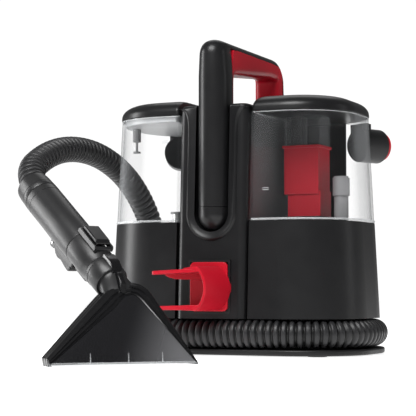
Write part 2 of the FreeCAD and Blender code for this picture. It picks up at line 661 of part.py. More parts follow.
# ---------------------------------------------------------------- machinery inside
def machinery():
    x, y = "0", "motor_place"
    keep("motor_housing", cut(rod((x, y, "motor_low"), "motor_radius", "motor_high - motor_low"),
                              rod((x, y, "motor_low - 1"), "4.1", "12")))
    keep("motor_mounts", group(pipe((x, y, "motor_high"), "motor_radius - 2", "18",
                                    "column_top - shell_wall - motor_high"),
                               pipe((x, y, "motor_low - rotor_height - 12"), "motor_radius + 2",
                                    "motor_radius - 2", "6")))
    shroud = "motor_low - rotor_height - 6"
    keep("fan_shroud", cut(rod((x, y, shroud), "motor_radius + 2", "rotor_height + 6"),
                           rod((x, y, f"{shroud} + 2"), "rotor_radius + 1", "rotor_height + 5"),
                           rod((x, y, f"{shroud} - 1"), "12", "5")))
    low = "motor_low - rotor_height - 1.5"
    vanes = [doc.addObject("Part::Box", "vane") for _ in range(7)]
    for turn, vane in enumerate(vanes):
        vane.setExpression("Length", formula("rotor_radius - 8"))
        vane.Width = 1.6
        vane.setExpression("Height", formula("rotor_height - 3"))
        spin = Rotation(Vector(0, 0, 1), 360 / len(vanes) * turn)
        root = spin.multVec(Vector(6, -0.8, 0))
        vane.Placement = Placement(root, spin)
        vane.setExpression("Placement.Base.y", formula(f"motor_place + {root.y:.3f}"))
        vane.setExpression("Placement.Base.z", formula(low + " + 1"))
    keep("fan_rotor", fuse(rod((x, y, low), "rotor_radius", "1.6"), rod((x, y, low), "7", "rotor_height - 3"),
                           rod((x, y, low), "4", "rotor_height + 10"), *vanes))
    keep("water_pump", fuse(box(("-column_half - pump_place - 24", "24 - column_half - pump_place"), ("0", "40"),
                                ("housing_floor + shell_wall", "housing_floor + 45")),
                            rod(("24 - column_half - pump_place", "20", "housing_floor + 26"), "14", "18", "X")))
    keep("pump_tubes", fuse(rod(("-valve_place", "valve_back", "housing_floor + 45"), "4.5",
                                "shoulder - housing_floor - 45 - 14"),
                            rod(("-column_half - pump_place - 10", "-30", "housing_floor + 20"), "4", "30", "Y")))
    keep("air_duct", cut(rod(("column_half + side_gap + 8", "motor_place", "motor_low - 60"), "11", "50", "X"),
                         rod(("column_half", "motor_place", "motor_low - 60"), "9", "60", "X")))
    keep("circuit_board", box(("column_half + side_gap + 12", "column_half + side_gap + 82"), ("-52", "-50"),
                              ("housing_floor + 12", "housing_floor + 72")))
    screws = []
    for sx in (-1, 1):
        for level in ("screw_low", "screw_middle", "screw_high"):
            screws.append(rod((f"{sx} * (column_half - screw_inset)", "column_rear", level), "screw_radius",
                              "1.5", "Y"))
    keep("housing_screws", group(*screws))


# ---------------------------------------------------------------- hose
HOSE_POINTS = [
    (46, 90, 26), (111, 90, 26), (158, 43, 26), (158, -43, 26), (111, -90, 26), (0, -96, 26),
    (-111, -90, 26), (-160, -43, 26), (-169, 44, 26), (-174, 106, 46), (-182, 132, 102),
    (-188, 118, 168), (-194, 72, 219), (-201, 10, 247), (-206, -56, 253), (-205, -122, 240),
    (-201.1, -180, 209.1), (-158.6, -202.2, 176.5),
]


def hose_path(points):
    """Straight runs joined by tangent arcs, each as large as its two runs allow."""
    corners = [Vector(*p) for p in points]
    edges = []
    start = corners[0]
    for before, corner, after in zip(corners, corners[1:], corners[2:]):
        back, ahead = before - corner, after - corner
        shorter = min(back.Length, ahead.Length)
        half_turn = (math.pi - back.getAngle(ahead)) / 2
        reach = 0.45 * shorter
        radius = reach / math.tan(half_turn)
        print(f"hose turn {math.degrees(2 * half_turn):5.1f} deg, radius {radius:6.1f}, run {ahead.Length:5.1f}")
        back.normalize()
        ahead.normalize()
        enter, leave = corner + back * reach, corner + ahead * reach
        middle_way = (back + ahead).normalize()
        middle = corner + middle_way * (radius / math.cos(half_turn) - radius)
        edges.append(Part.LineSegment(start, enter).toShape())
        edges.append(Part.Arc(enter, middle, leave).toShape())
        start = leave
    edges.append(Part.LineSegment(start, corners[-1]).toShape())
    return Part.Wire(edges)


def suction_hose():
    path = hose_path(HOSE_POINTS)
    radius = number("hose_radius")
    ring = Part.Wire(Part.makeCircle(radius, path.Edges[0].firstVertex().Point,
                                     path.Edges[0].tangentAt(0)))
    tube = path.makePipeShell([ring], True, False)
    expected = math.pi * radius ** 2 * path.Length
    print(f"hose length {path.Length:.1f} mm, volume {tube.Volume:.0f}, section x length {expected:.0f}")
    assert abs(tube.Volume - expected) < 0.02 * expected
    hose = doc.addObject("Part::Feature", "hose")
    hose.Shape = tube
    keep("suction_hose", hose)
    start = Vector(*HOSE_POINTS[0])
    port = fuse(box((f"{start.x} - 46", f"{start.x} - 8"), ("drum_half_depth", "drum_half_depth + 38"),
                    (plate_top, "housing_floor - 0.3")),
                rod((f"{start.x} - 10", f"{start.y}", f"{start.z}"), "hose_radius - 0.2", "10", "X"))
    keep("hose_port", port)


# ---------------------------------------------------------------- wand and nozzle
wand_top = Vector(-163, -199.9, 179.9)
wand_way = Vector(0.733, -0.382, -0.562)
wand_way.normalize()


def wand_frame():
    """Local Z runs down the wand, local X lies level and local Y points up and forward."""
    level = Vector(0, 0, 1).cross(wand_way)
    level.normalize()
    third = wand_way.cross(level)
    matrix = FreeCAD.Matrix(level.x, third.x, wand_way.x, wand_top.x,
                            level.y, third.y, wand_way.y, wand_top.y,
                            level.z, third.z, wand_way.z, wand_top.z, 0, 0, 0, 1)
    return Placement(matrix)


def wand():
    frame = wand_frame()
    cuff = cut(fuse(rod(("0", "0", "-cuff_length"), "cuff_radius - 2", "cuff_length"),
                    rod(("0", "0", "-8"), "cuff_radius + 1", "8")),
               rod(("0", "0", "-cuff_length - 1"), "hose_radius + 0.6", "cuff_length + 2"))
    keep_in(frame, "hose_cuff", cut(cuff, rod(("0", "0", "-5"), "hose_radius + 2.55", "6")))
    grip = fuse(rod(("0", "0", "0.4"), "wand_radius", "wand_length - spigot_length - 10.4"),
                rod(("0", "0", "-4.6"), "hose_radius + 2.5", "6"),
                rod(("0", "0", "0.4"), "hose_radius + 4", "22"),
                rod(("0", "0", "4"), "wand_radius + 2", "6"),
                cone(("0", "0", "wand_length - spigot_length - 10"), "wand_radius", "spigot_radius + 1.5", "10"),
                rod(("0", "0", "wand_length - spigot_length - 1"), "spigot_radius", "spigot_length"))
    bore = fuse(rod(("0", "0", "-10"), "hose_radius + 0.6", "30"),
                rod(("0", "0", "19"), "wand_bore - 3", "wand_length"))
    slot = box(("-7", "7"), ("-wand_radius - 5", "-wand_radius + 5"),
               ("trigger_place - 4", "trigger_place + trigger_length + 8"))
    catch_seat = box(("-9.5", "9.5"), ("wand_radius - catch_travel", "wand_radius + 20"),
                     ("catch_place - 0.5", "catch_place + catch_length + 0.5"))
    wand_body = cut(grip, bore, slot, catch_seat)
    ears = [box((f"{sx} * 9 - 2", f"{sx} * 9 + 2"), ("-wand_radius - 5", "-wand_radius + 6"),
                ("trigger_place - 2", "trigger_place + 6"))
            for sx in (-1, 1)]
    pin_place = ("-wand_radius - 1", "trigger_place + 2")
    keep_in(frame, "wand_handle", cut(fuse(wand_body, *ears),
                                      rod(("-12", *pin_place), "trigger_pin", "24", "X")))
    keep_in(frame, "wand_conduit", cut(box(("-4", "4"), ("-wand_radius - 5", "-wand_radius + 1"),
                                   ("trigger_place + 54", "wand_length - spigot_length - 12")),
                                        rod(("0", "0", "-10"), "wand_radius + 0.01", "wand_length")))
    lever = fuse(box(("-6.4", "6.4"), ("-wand_radius - 11", "-wand_radius - 3"),
                     ("trigger_place + 5", "trigger_place + trigger_length")),
                 rod(("-6.4", *pin_place), "4", "12.8", "X"),
                 box(("-6.4", "6.4"), ("-wand_radius - 7", "-wand_radius - 1"),
                     ("trigger_place", "trigger_place + 10")))
    keep_in(frame, "spray_trigger", cut(lever, rod(("-8", *pin_place), "trigger_pin + 0.05", "16", "X")))
    keep_in(frame, "trigger_hinge_pin", rod(("-11", *pin_place), "trigger_pin", "22", "X"))
    catch = box(("-9", "9"), ("wand_radius + 0.5", "wand_radius + 9"),
                ("catch_place", "catch_place + catch_length"))
    keep_in(frame, "nozzle_latch", catch)


nozzle_heading = 45.0
nozzle_lean = 36.7
mouth_centre = Vector(3.3, -312.9, 0)


def fan_solid(inset):
    """A fan: a slanted slab seen from the side, trimmed to a trapezoid seen from the front.

    Local X runs along the mouth, local Y points back and local Z up.
    """
    side = new_body()
    sketch = new_sketch(side, "YZ_Plane")
    lean = f"tan({nozzle_lean} * 1deg)"
    half = f"(nozzle_depth / 2 - ({inset}))"
    top = f"nozzle_rise - ({inset})"
    low = "0" if inset == "0" else "-1"
    outline(sketch, [(f"-{half} + {low} * {lean}", low), (f"{half} + {low} * {lean}", low),
                     (f"{half} + ({top}) * {lean}", top), (f"-{half} + ({top}) * {lean}", top)])
    pad(side, sketch, f"nozzle_width - 2 * ({inset})", both_ways=True)
    front = new_body()
    face = new_sketch(front, "XZ_Plane")
    wide, neck = f"(nozzle_width / 2 - ({inset}))", f"(nozzle_neck - ({inset}))"
    outline(face, [(f"-{wide}", low), (wide, low), (wide, "12"), (f"{neck} + nozzle_skew", top),
                   (f"-{neck} + nozzle_skew", top), (f"-{wide}", "12")])
    pad(front, face, "400", both_ways=True)
    return common(side, front)


def nozzle():
    frame = Placement(mouth_centre, Rotation(Vector(0, 0, 1), nozzle_heading))
    to_local = frame.inverse().multiply(wand_frame())
    joint = "wand_length - spigot_length"
    collar = framed(rod(("0", "0", f"{joint} + 0.6"), "spigot_radius + 3.2", "spigot_length + 6"), to_local)
    socket = framed(rod(("0", "0", f"{joint} - 2"), "spigot_radius + 0.4", "spigot_length + 4"), to_local)
    way = framed(rod(("0", "0", "wand_length"), "nozzle_wall * 3", "24"), to_local)
    lean = f"tan({nozzle_lean} * 1deg)"
    window_cut = window_slab("0")
    shell = cut(fuse(fan_solid("0"), collar), fan_solid("nozzle_wall"), socket, way, window_cut)
    keep_in(frame, "nozzle_body", shell)
    keep_in(frame, "nozzle_window", window_slab("0.4"))
    ribs = [box((f"{x} - 1.5", f"{x} + 1.5"), ("0", "9"), ("1", "9")) for x in (-52, -26, 0, 26, 52)]
    strip = box(("-nozzle_width / 2 + 6", "nozzle_width / 2 - 6"), ("3", "8"), ("0.5", "10"))
    keep_in(frame, "brush_strip", fuse(strip, *ribs))
    tip = rod(("0", f"nozzle_rise * 0.78 * {lean}", "nozzle_rise * 0.72"), "5", "10")
    keep_in(frame, "spray_tip", tip)


def window_slab(gap):
    """The triangular window in the front face of the fan, smaller all round by the gap."""
    side = new_body()
    sketch = new_sketch(side, "YZ_Plane")
    lean = f"tan({nozzle_lean} * 1deg)"
    low, top = f"10 + {gap}", f"nozzle_rise - 12 - {gap}"
    face, back = f"(-nozzle_depth / 2 - 1 + {gap})", "(-nozzle_depth / 2 + nozzle_wall + 0.2)"
    outline(sketch, [(f"{face} + ({low}) * {lean}", low), (f"{back} + ({low}) * {lean}", low),
                     (f"{back} + ({top}) * {lean}", top), (f"{face} + ({top}) * {lean}", top)])
    pad(side, sketch, "nozzle_width", both_ways=True)
    front = new_body()
    view = new_sketch(front, "XZ_Plane")
    outline(view, [(f"-nozzle_width / 2 + 8 + {gap}", low), (f"nozzle_width / 2 - 8 - {gap}", low),
                   (f"nozzle_width / 2 - 10 - {gap}", f"14 + {gap}"), (f"10 - {gap} + nozzle_skew * 0.8", top),
                   (f"-10 + {gap} + nozzle_skew * 0.8", top), (f"-nozzle_width / 2 + 10 + {gap}", f"14 + {gap}")])
    pad(front, view, "400", both_ways=True)
    return common(side, front)


# ---------------------------------------------------------------- build everything
base_plate()
rubber_feet()
hose_core()
for side_name, side_sign in (("clean", -1), ("dirty", 1)):
    lower_housing(f"{side_name}_side_housing", side_sign)
    tank_lid(f"{side_name}_tank_lid", side_sign)
    tank_gasket(f"{side_name}_tank_gasket", side_sign)
    latch_housing(f"{side_name}_tank_latch", side_sign)
    release_button(f"{side_name}_release_button", side_sign)
clean_tank()
dirty_tank()
column_housing()
column_rear_cover()
exhaust_grille()
cord_inlet()
handle_shell()
handle_grip()
power_button()
tool_hook()
hook_bezel()
pickup_tube()
clean_valve()
float_cage()
standpipe()
machinery()
suction_hose()
wand()
nozzle()
doc.recompute()

for item in doc.Objects:
    assert not {"Invalid", "Error"} & set(item.State), f"{item.Name} ({item.Label}) failed"
os.makedirs("parts", exist_ok=True)
for label, item in SUBPARTS.items():
    shape = item.Shape
    assert not shape.isNull() and shape.isValid(), f"{label} is not a valid solid"
    assert shape.Solids, f"{label} has no solid"
    print(f"{label:24s} {len(shape.Solids)} solids, volume {shape.Volume / 1000:9.2f} cm3")
    shape.exportStep(f"parts/{label}.step")
print(len(SUBPARTS), "sub-parts")
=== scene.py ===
"""Looks of a portable spot carpet cleaner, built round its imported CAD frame.

Metres, +Z up, -Y is the front and +X is the dirty-water tank's side.  Each sub-assembly is a class
whose fields are its sizes; main() builds them in order and reports every piece.
"""
import json
import logging
import math
from dataclasses import dataclass, field
from enum import Enum
from typing import Callable, Sequence

import bmesh
import bpy
from mathutils import Matrix, Vector

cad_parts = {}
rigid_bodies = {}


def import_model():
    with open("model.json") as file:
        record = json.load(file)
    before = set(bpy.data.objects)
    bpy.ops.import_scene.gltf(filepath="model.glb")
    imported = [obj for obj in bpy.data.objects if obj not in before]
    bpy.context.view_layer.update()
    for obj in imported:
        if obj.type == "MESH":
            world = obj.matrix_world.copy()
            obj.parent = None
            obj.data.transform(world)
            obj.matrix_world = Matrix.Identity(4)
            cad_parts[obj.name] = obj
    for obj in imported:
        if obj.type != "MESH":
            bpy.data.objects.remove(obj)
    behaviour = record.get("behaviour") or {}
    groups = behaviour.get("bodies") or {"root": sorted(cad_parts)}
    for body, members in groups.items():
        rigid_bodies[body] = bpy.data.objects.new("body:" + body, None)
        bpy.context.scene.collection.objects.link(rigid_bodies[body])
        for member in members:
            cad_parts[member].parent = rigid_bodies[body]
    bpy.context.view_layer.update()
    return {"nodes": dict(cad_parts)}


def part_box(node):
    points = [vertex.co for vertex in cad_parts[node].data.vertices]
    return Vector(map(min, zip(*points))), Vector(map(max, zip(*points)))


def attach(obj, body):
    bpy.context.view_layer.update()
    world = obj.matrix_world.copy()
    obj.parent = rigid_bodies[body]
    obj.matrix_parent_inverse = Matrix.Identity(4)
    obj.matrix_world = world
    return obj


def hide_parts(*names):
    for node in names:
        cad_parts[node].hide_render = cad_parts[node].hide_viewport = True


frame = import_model()

logging.basicConfig(level=logging.INFO, format="%(message)s")
log = logging.getLogger("spot_cleaner")

MM = 0.001
GRAIN_DEPTH = 0.0004
SHOULDER = 0.155
DRAFT = math.tan(math.radians(2.8))
Ring = list[Vector]
Skin = tuple[list[Vector], list[tuple[int, ...]]]
Outline = Sequence[tuple[float, float]]
Color = tuple[float, float, float]
Place = tuple[float, float, float]
Line = tuple[float, float]


class Side(Enum):
    """The two sides of the machine; the value is the sign of X."""

    CLEAN = -1
    DIRTY = 1


# ------------------------------------------------------------------------------------ finishes
class MaterialTree:
    """A material's nodes under construction; its textures are read at object coordinates."""

    def __init__(self, name: str) -> None:
        """Start the material with its main shader.

        Args:
            name: The material's name.
        """
        self.material = bpy.data.materials.new(name)
        self.material.use_nodes = True
        self.nodes, self.links = self.material.node_tree.nodes, self.material.node_tree.links
        self.shader = self.nodes["Principled BSDF"]
        self.place = self.nodes.new("ShaderNodeTexCoord").outputs["Object"]

    def noise(self, scale: float, detail: float) -> bpy.types.NodeSocket:
        """Add a noise texture.

        Args:
            scale: The noise's scale, per metre.
            detail: Its number of octaves.

        Returns:
            The texture's value socket.
        """
        texture = self.nodes.new("ShaderNodeTexNoise")
        texture.inputs["Scale"].default_value = scale
        texture.inputs["Detail"].default_value = detail
        self.links.new(self.place, texture.inputs["Vector"])
        return texture.outputs["Fac"]

    def color(self, factor: bpy.types.NodeSocket, first: Color, second: Color) -> None:
        """Mix the base colour from two colours.

        Args:
            factor: The second colour's share.
            first: The first colour.
            second: The second colour.
        """
        mix = self.nodes.new("ShaderNodeMix")
        mix.data_type = "RGBA"
        mix.inputs["A"].default_value = (*first, 1)
        mix.inputs["B"].default_value = (*second, 1)
        self.links.new(factor, mix.inputs["Factor"])
        self.links.new(mix.outputs["Result"], self.shader.inputs["Base Color"])

    def map(self, value: bpy.types.NodeSocket, target: str, low: float, high: float) -> bpy.types.Node:
        """Map a value to a range and feed it to an input of the shader.

        Args:
            value: The value, from 0 to 1.
            target: The shader input's name.
            low: The result at 0.
            high: The result at 1.

        Returns:
            The Map Range node.
        """
        node = self.nodes.new("ShaderNodeMapRange")
        node.inputs["To Min"].default_value = low
        node.inputs["To Max"].default_value = high
        self.links.new(value, node.inputs["Value"])
        self.links.new(node.outputs["Result"], self.shader.inputs[target])
        return node

    def relief(self, height: bpy.types.NodeSocket, strength: float, distance: float) -> None:
        """Add a fine relief to the surface.

        Args:
            height: The relief's height.
            strength: How strong it is.
            distance: How deep it is, in metres.
        """
        bump = self.nodes.new("ShaderNodeBump")
        bump.inputs["Strength"].default_value = strength
        bump.inputs["Distance"].default_value = distance
        self.links.new(height, bump.inputs["Height"])
        self.links.new(bump.outputs["Normal"], self.shader.inputs["Normal"])


@dataclass(frozen=True)
class Plastic:
    """A moulded plastic or rubber with a fine grain, faint mottling and uneven gloss."""

    name: str
    color: Color
    roughness: float
    grain: float = 2600.0
    bump: float = 0.05
    metallic: float = 0.0
    spread: float = 0.06
    specular: float = 0.5

    def build(self) -> bpy.types.Material:
        """Make the material's nodes.

        Returns:
            The finished material.
        """
        tree = MaterialTree(self.name)
        tree.color(tree.noise(22.0, 3.0), tuple(c * 0.86 for c in self.color),
                   tuple(min(1.0, c * 1.16) for c in self.color))
        tree.map(tree.noise(60.0, 4.0), "Roughness", max(0.02, self.roughness - self.spread),
                 self.roughness + self.spread)
        tree.relief(tree.noise(self.grain, 2.0), self.bump, GRAIN_DEPTH)
        tree.shader.inputs["Metallic"].default_value = self.metallic
        tree.shader.inputs["Specular IOR Level"].default_value = self.specular
        return tree.material


@dataclass(frozen=True)
class ClearPlastic:
    """A clear moulding that is seen best at its edges, where it thickens to the eye.

    Its colour can grow paler from one place to another: painted light, a brighter patch painted into the
    colour.
    """

    name: str
    color: Color
    face_alpha: float
    edge_alpha: float
    roughness: float = 0.05
    # painted light: the paler colour and the two places between which it is painted in
    painted_light_color: Color | None = None
    painted_light_from: Place = (0.0, 0.0, 0.0)
    painted_light_to: Place = (0.0, 0.0, 1.0)

    def paint_light(self, tree: MaterialTree) -> None:
        """Paint a paler patch of light into the colour, growing between the two places.

        Args:
            tree: The material under construction.
        """
        start, end = Vector(self.painted_light_from), Vector(self.painted_light_to)
        offset = tree.nodes.new("ShaderNodeVectorMath")
        offset.operation = "SUBTRACT"
        offset.inputs[1].default_value = start
        tree.links.new(tree.place, offset.inputs[0])
        along = tree.nodes.new("ShaderNodeVectorMath")
        along.operation = "DOT_PRODUCT"
        along.inputs[1].default_value = (end - start) / (end - start).length_squared
        tree.links.new(offset.outputs["Vector"], along.inputs[0])
        share = tree.nodes.new("ShaderNodeMapRange")
        share.interpolation_type = "SMOOTHSTEP"
        tree.links.new(along.outputs["Value"], share.inputs["Value"])
        tree.color(share.outputs["Result"], self.color, self.painted_light_color)

    def build(self) -> bpy.types.Material:
        """Make the material's nodes.

        Returns:
            The finished material.
        """
        tree = MaterialTree(self.name)
        tree.shader.inputs["Base Color"].default_value = (*self.color, 1)
        if self.painted_light_color:
            self.paint_light(tree)
        rim = tree.nodes.new("ShaderNodeLayerWeight")
        rim.inputs["Blend"].default_value = 0.35
        cover = tree.map(rim.outputs["Facing"], "Alpha", self.face_alpha, self.edge_alpha)
        cover.interpolation_type = "SMOOTHSTEP"
        cover.inputs["From Min"].default_value = 0.22
        tree.map(tree.noise(35.0, 3.0), "Roughness", self.roughness, self.roughness + 0.05)
        tree.relief(tree.noise(16.0, 1.0), 0.04, 0.001)
        return tree.material


@dataclass(frozen=True)
class RibbedHose:
    """The hose's plastic, darker in the grooves than on the crowns: painted shade in the grooves."""

    name: str = "hose_plastic"
    crown: Color = (0.014, 0.014, 0.015)
    # painted shade: the darker colour painted into the grooves
    groove: Color = (0.0015, 0.0015, 0.0015)

    def build(self) -> bpy.types.Material:
        """Make the material's nodes.

        Returns:
            The finished material.
        """
        tree = MaterialTree(self.name)
        depth = tree.nodes.new("ShaderNodeAttribute")
        depth.attribute_name = "groove"
        # painted shade: the groove mask blends the crowns' colour into a darker one in the grooves
        tree.color(depth.outputs["Fac"], self.crown, self.groove)
        tree.shader.inputs["Specular IOR Level"].default_value = 0.30
        tree.map(tree.noise(90.0, 3.0), "Roughness", 0.34, 0.50)
        tree.relief(tree.noise(1500.0, 2.0), 0.10, GRAIN_DEPTH)
        return tree.material


Finish = Plastic | ClearPlastic | RibbedHose
SATIN_BLACK = Plastic("satin_black", (0.0065, 0.0065, 0.0070), 0.33, bump=0.05, specular=0.24)
SOFT_BLACK = Plastic("soft_black", (0.0065, 0.0065, 0.0070), 0.42, bump=0.07, specular=0.24)
GLOSS_BLACK = Plastic("gloss_black", (0.0045, 0.0045, 0.0050), 0.22, bump=0.02, specular=0.32)
WAND_BLACK = Plastic("wand_black", (0.012, 0.012, 0.0125), 0.36, bump=0.03, grain=1800.0, specular=0.32)
DEEP_RED = Plastic("deep_red", (0.37, 0.0060, 0.016), 0.32, bump=0.02, specular=0.16)
CAGE_RED = Plastic("cage_red", (0.27, 0.006, 0.014), 0.36, bump=0.02, specular=0.22)
RUBBER = Plastic("black_rubber", (0.012, 0.012, 0.012), 0.72, bump=0.2)
GREY = Plastic("grey_plastic", (0.20, 0.20, 0.205), 0.42)
PALE = Plastic("white_foam", (0.78, 0.78, 0.75), 0.70, bump=0.2)
STEEL = Plastic("brushed_steel", (0.50, 0.50, 0.50), 0.32, grain=900.0, bump=0.12, metallic=1.0)
BOARD = Plastic("green_board", (0.015, 0.14, 0.05), 0.35)
CLEAR = ClearPlastic("clear_tank", (0.34, 0.35, 0.36), 0.010, 0.55)
CLEAR_RIM = ClearPlastic("clear_rim", (0.70, 0.72, 0.73), 0.22, 0.60)
DUCT_CLEAR = ClearPlastic("clear_duct", (0.16, 0.165, 0.17), 0.10, 0.55)
MARK = Plastic("level_mark", (0.35, 0.35, 0.36), 0.5)
# the smoked window grows paler towards its lower right corner: painted light
SMOKED = ClearPlastic("smoked_window", (0.007, 0.007, 0.008), 0.88, 0.96, 0.12, (0.115, 0.115, 0.120),
                      (-0.005, -0.300, 0.032), (0.060, -0.262, 0.006))
LID_PLUG = Plastic("lid_plug", (0.42, 0.43, 0.44), 0.4, bump=0.03)
TUBE_CLEAR = ClearPlastic("clear_tube", (0.75, 0.77, 0.77), 0.35, 0.80)
HOSE = RibbedHose()

BUILT: dict[str, bpy.types.Material] = {}


def finish(kind: Finish) -> bpy.types.Material:
    """Return the material of a finish, which is made once.

    Args:
        kind: The finish.

    Returns:
        Its material.
    """
    if kind.name not in BUILT:
        BUILT[kind.name] = kind.build()
    return BUILT[kind.name]


# ------------------------------------------------------------------------------------ mesh tools
def to_object(name: str, skin: Skin, kind: Finish, smooth: float = 35.0) -> bpy.types.Object:
    """Make a closed mesh object at the origin with outward normals.

    Args:
        name: The piece's name.
        skin: Its points, in metres, and its faces, as point numbers.
        kind: The finish.
        smooth: Edges under this many degrees are shaded smooth.

    Returns:
        The new object.
    """
    verts, faces = skin
    mesh = bpy.data.meshes.new(name)
    mesh.from_pydata([tuple(v) for v in verts], [], faces)
    work = bmesh.new()
    work.from_mesh(mesh)
    bmesh.ops.remove_doubles(work, verts=work.verts, dist=1e-6)
    bmesh.ops.recalc_face_normals(work, faces=work.faces)
    work.to_mesh(mesh)
    work.free()
    mesh.materials.append(finish(kind))
    mesh.shade_smooth()
    mesh.set_sharp_from_angle(angle=math.radians(smooth))
    piece = bpy.data.objects.new(name, mesh)
    bpy.context.scene.collection.objects.link(piece)
    return piece


def loft(rings: Sequence[Ring], wrap: bool = False) -> Skin:
    """Join rings of equal length into a closed skin.

    Args:
        rings: The rings, in order.
        wrap: Whether the last ring joins the first; otherwise a face closes each end.

    Returns:
        The points and the faces.
    """
    count = len(rings[0])
    verts = [v for ring in rings for v in ring]
    faces = []
    for i in range(len(rings) if wrap else len(rings) - 1):
        a, b = i * count, ((i + 1) % len(rings)) * count
        faces += [(a + j, a + (j + 1) % count, b + (j + 1) % count, b + j) for j in range(count)]
    if not wrap:
        faces += [tuple(range(count - 1, -1, -1)), tuple(range(len(verts) - count, len(verts)))]
    return verts, faces


def rounded_ring(left: float, right: float, front: float, rear: float, z: float,
                 radii: Sequence[float], steps: int = 10) -> Ring:
    """A level rectangle with round corners, counter-clockwise from the front left.

    Args:
        left, right, front, rear: Its sides.
        z: Its height.
        radii: The corner radii: front left, front right, rear right, rear left.
        steps: The points in each corner.

    Returns:
        The ring's points.
    """
    corners = ((left, front, 1, 1, math.pi), (right, front, -1, 1, 1.5 * math.pi),
               (right, rear, -1, -1, 0.0), (left, rear, 1, -1, 0.5 * math.pi))
    ring = []
    for (x, y, sx, sy, start), radius in zip(corners, radii):
        for k in range(steps + 1):
            angle = start + 0.5 * math.pi * k / steps
            ring.append(Vector((x + sx * radius + radius * math.cos(angle),
                                y + sy * radius + radius * math.sin(angle), z)))
    return ring


def turned(profile: Outline, matrix: Matrix, steps: int = 48) -> Skin:
    """Turn a closed profile of (radius, height) pairs about the local Z axis.

    Args:
        profile: The profile's corners, in order round the section.
        matrix: The local frame.
        steps: The points in a turn.

    Returns:
        The points and the faces.
    """
    rings = []
    for radius, height in profile:
        rings.append([matrix @ Vector((radius * math.cos(2 * math.pi * k / steps),
                                       radius * math.sin(2 * math.pi * k / steps), height))
                      for k in range(steps)])
    return loft(rings, wrap=True)


def prism(outline: Outline, low: float, high: float, place: Callable[[float, float, float], Vector]) -> Skin:
    """Extrude an outline between two levels.

    Args:
        outline: The outline's corners.
        low: The first level.
        high: The second level.
        place: Places a corner, given its two coordinates and its level.

    Returns:
        The points and the faces.
    """
    return loft([[place(u, v, level) for u, v in outline] for level in (low, high)])


def soften(piece: bpy.types.Object, width: float, segments: int = 3, angle: float = 35.0) -> bpy.types.Object:
    """Round the piece's sharp edges with a bevel and even out its shading.

    Args:
        piece: The piece.
        width: The bevel's width, in metres.
        segments: The number of facets in it.
        angle: Edges over this many degrees are rounded.

    Returns:
        The same piece.
    """
    bevel = piece.modifiers.new("rounded_edges", "BEVEL")
    bevel.width = width
    bevel.segments = segments
    bevel.limit_method = "ANGLE"
    bevel.angle_limit = math.radians(angle)
    bevel.harden_normals = True
    return piece


def arc(centre: tuple[float, float], radius: float, start: float, end: float,
        steps: int = 8) -> list[tuple[float, float]]:
    """Put points on an arc.

    Args:
        centre: The arc's centre.
        radius: Its radius.
        start: Its first angle, in degrees.
        end: Its last angle, in degrees.
        steps: The number of stretches between the points.

    Returns:
        The points, from first to last.
    """
    points = []
    for k in range(steps + 1):
        angle = math.radians(start + (end - start) * k / steps)
        points.append((centre[0] + radius * math.cos(angle), centre[1] + radius * math.sin(angle)))
    return points


def ride(piece: bpy.types.Object, body: str, slot: str, *nodes: str) -> bpy.types.Object:
    """Let a piece ride on a body and hide the CAD nodes that it stands for.

    Args:
        piece: The piece.
        body: The body that carries it.
        slot: Its material slot's name; not used.
        nodes: The CAD nodes that it replaces, if any.

    Returns:
        The same piece.
    """
    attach(piece, body)
    if nodes:
        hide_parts(*nodes)
    log.info("piece %-24s rides on %s", piece.name, body)
    return piece


def moulding(name: str, skin: Skin, kind: Finish, width: float, body: str, slot: str,
             *nodes: str) -> bpy.types.Object:
    """Make a piece with rounded edges and let it ride on a body.

    Args:
        name: The piece's name.
        skin: Its points and faces.
        kind: Its finish.
        width: The width of its rounded edges, in metres.
        body: The body that carries it.
        slot: Its material slot's name; not used.
        nodes: The CAD nodes that it replaces, if any.

    Returns:
        The piece.
    """
    return ride(soften(to_object(name, skin, kind), width), body, slot, *nodes)


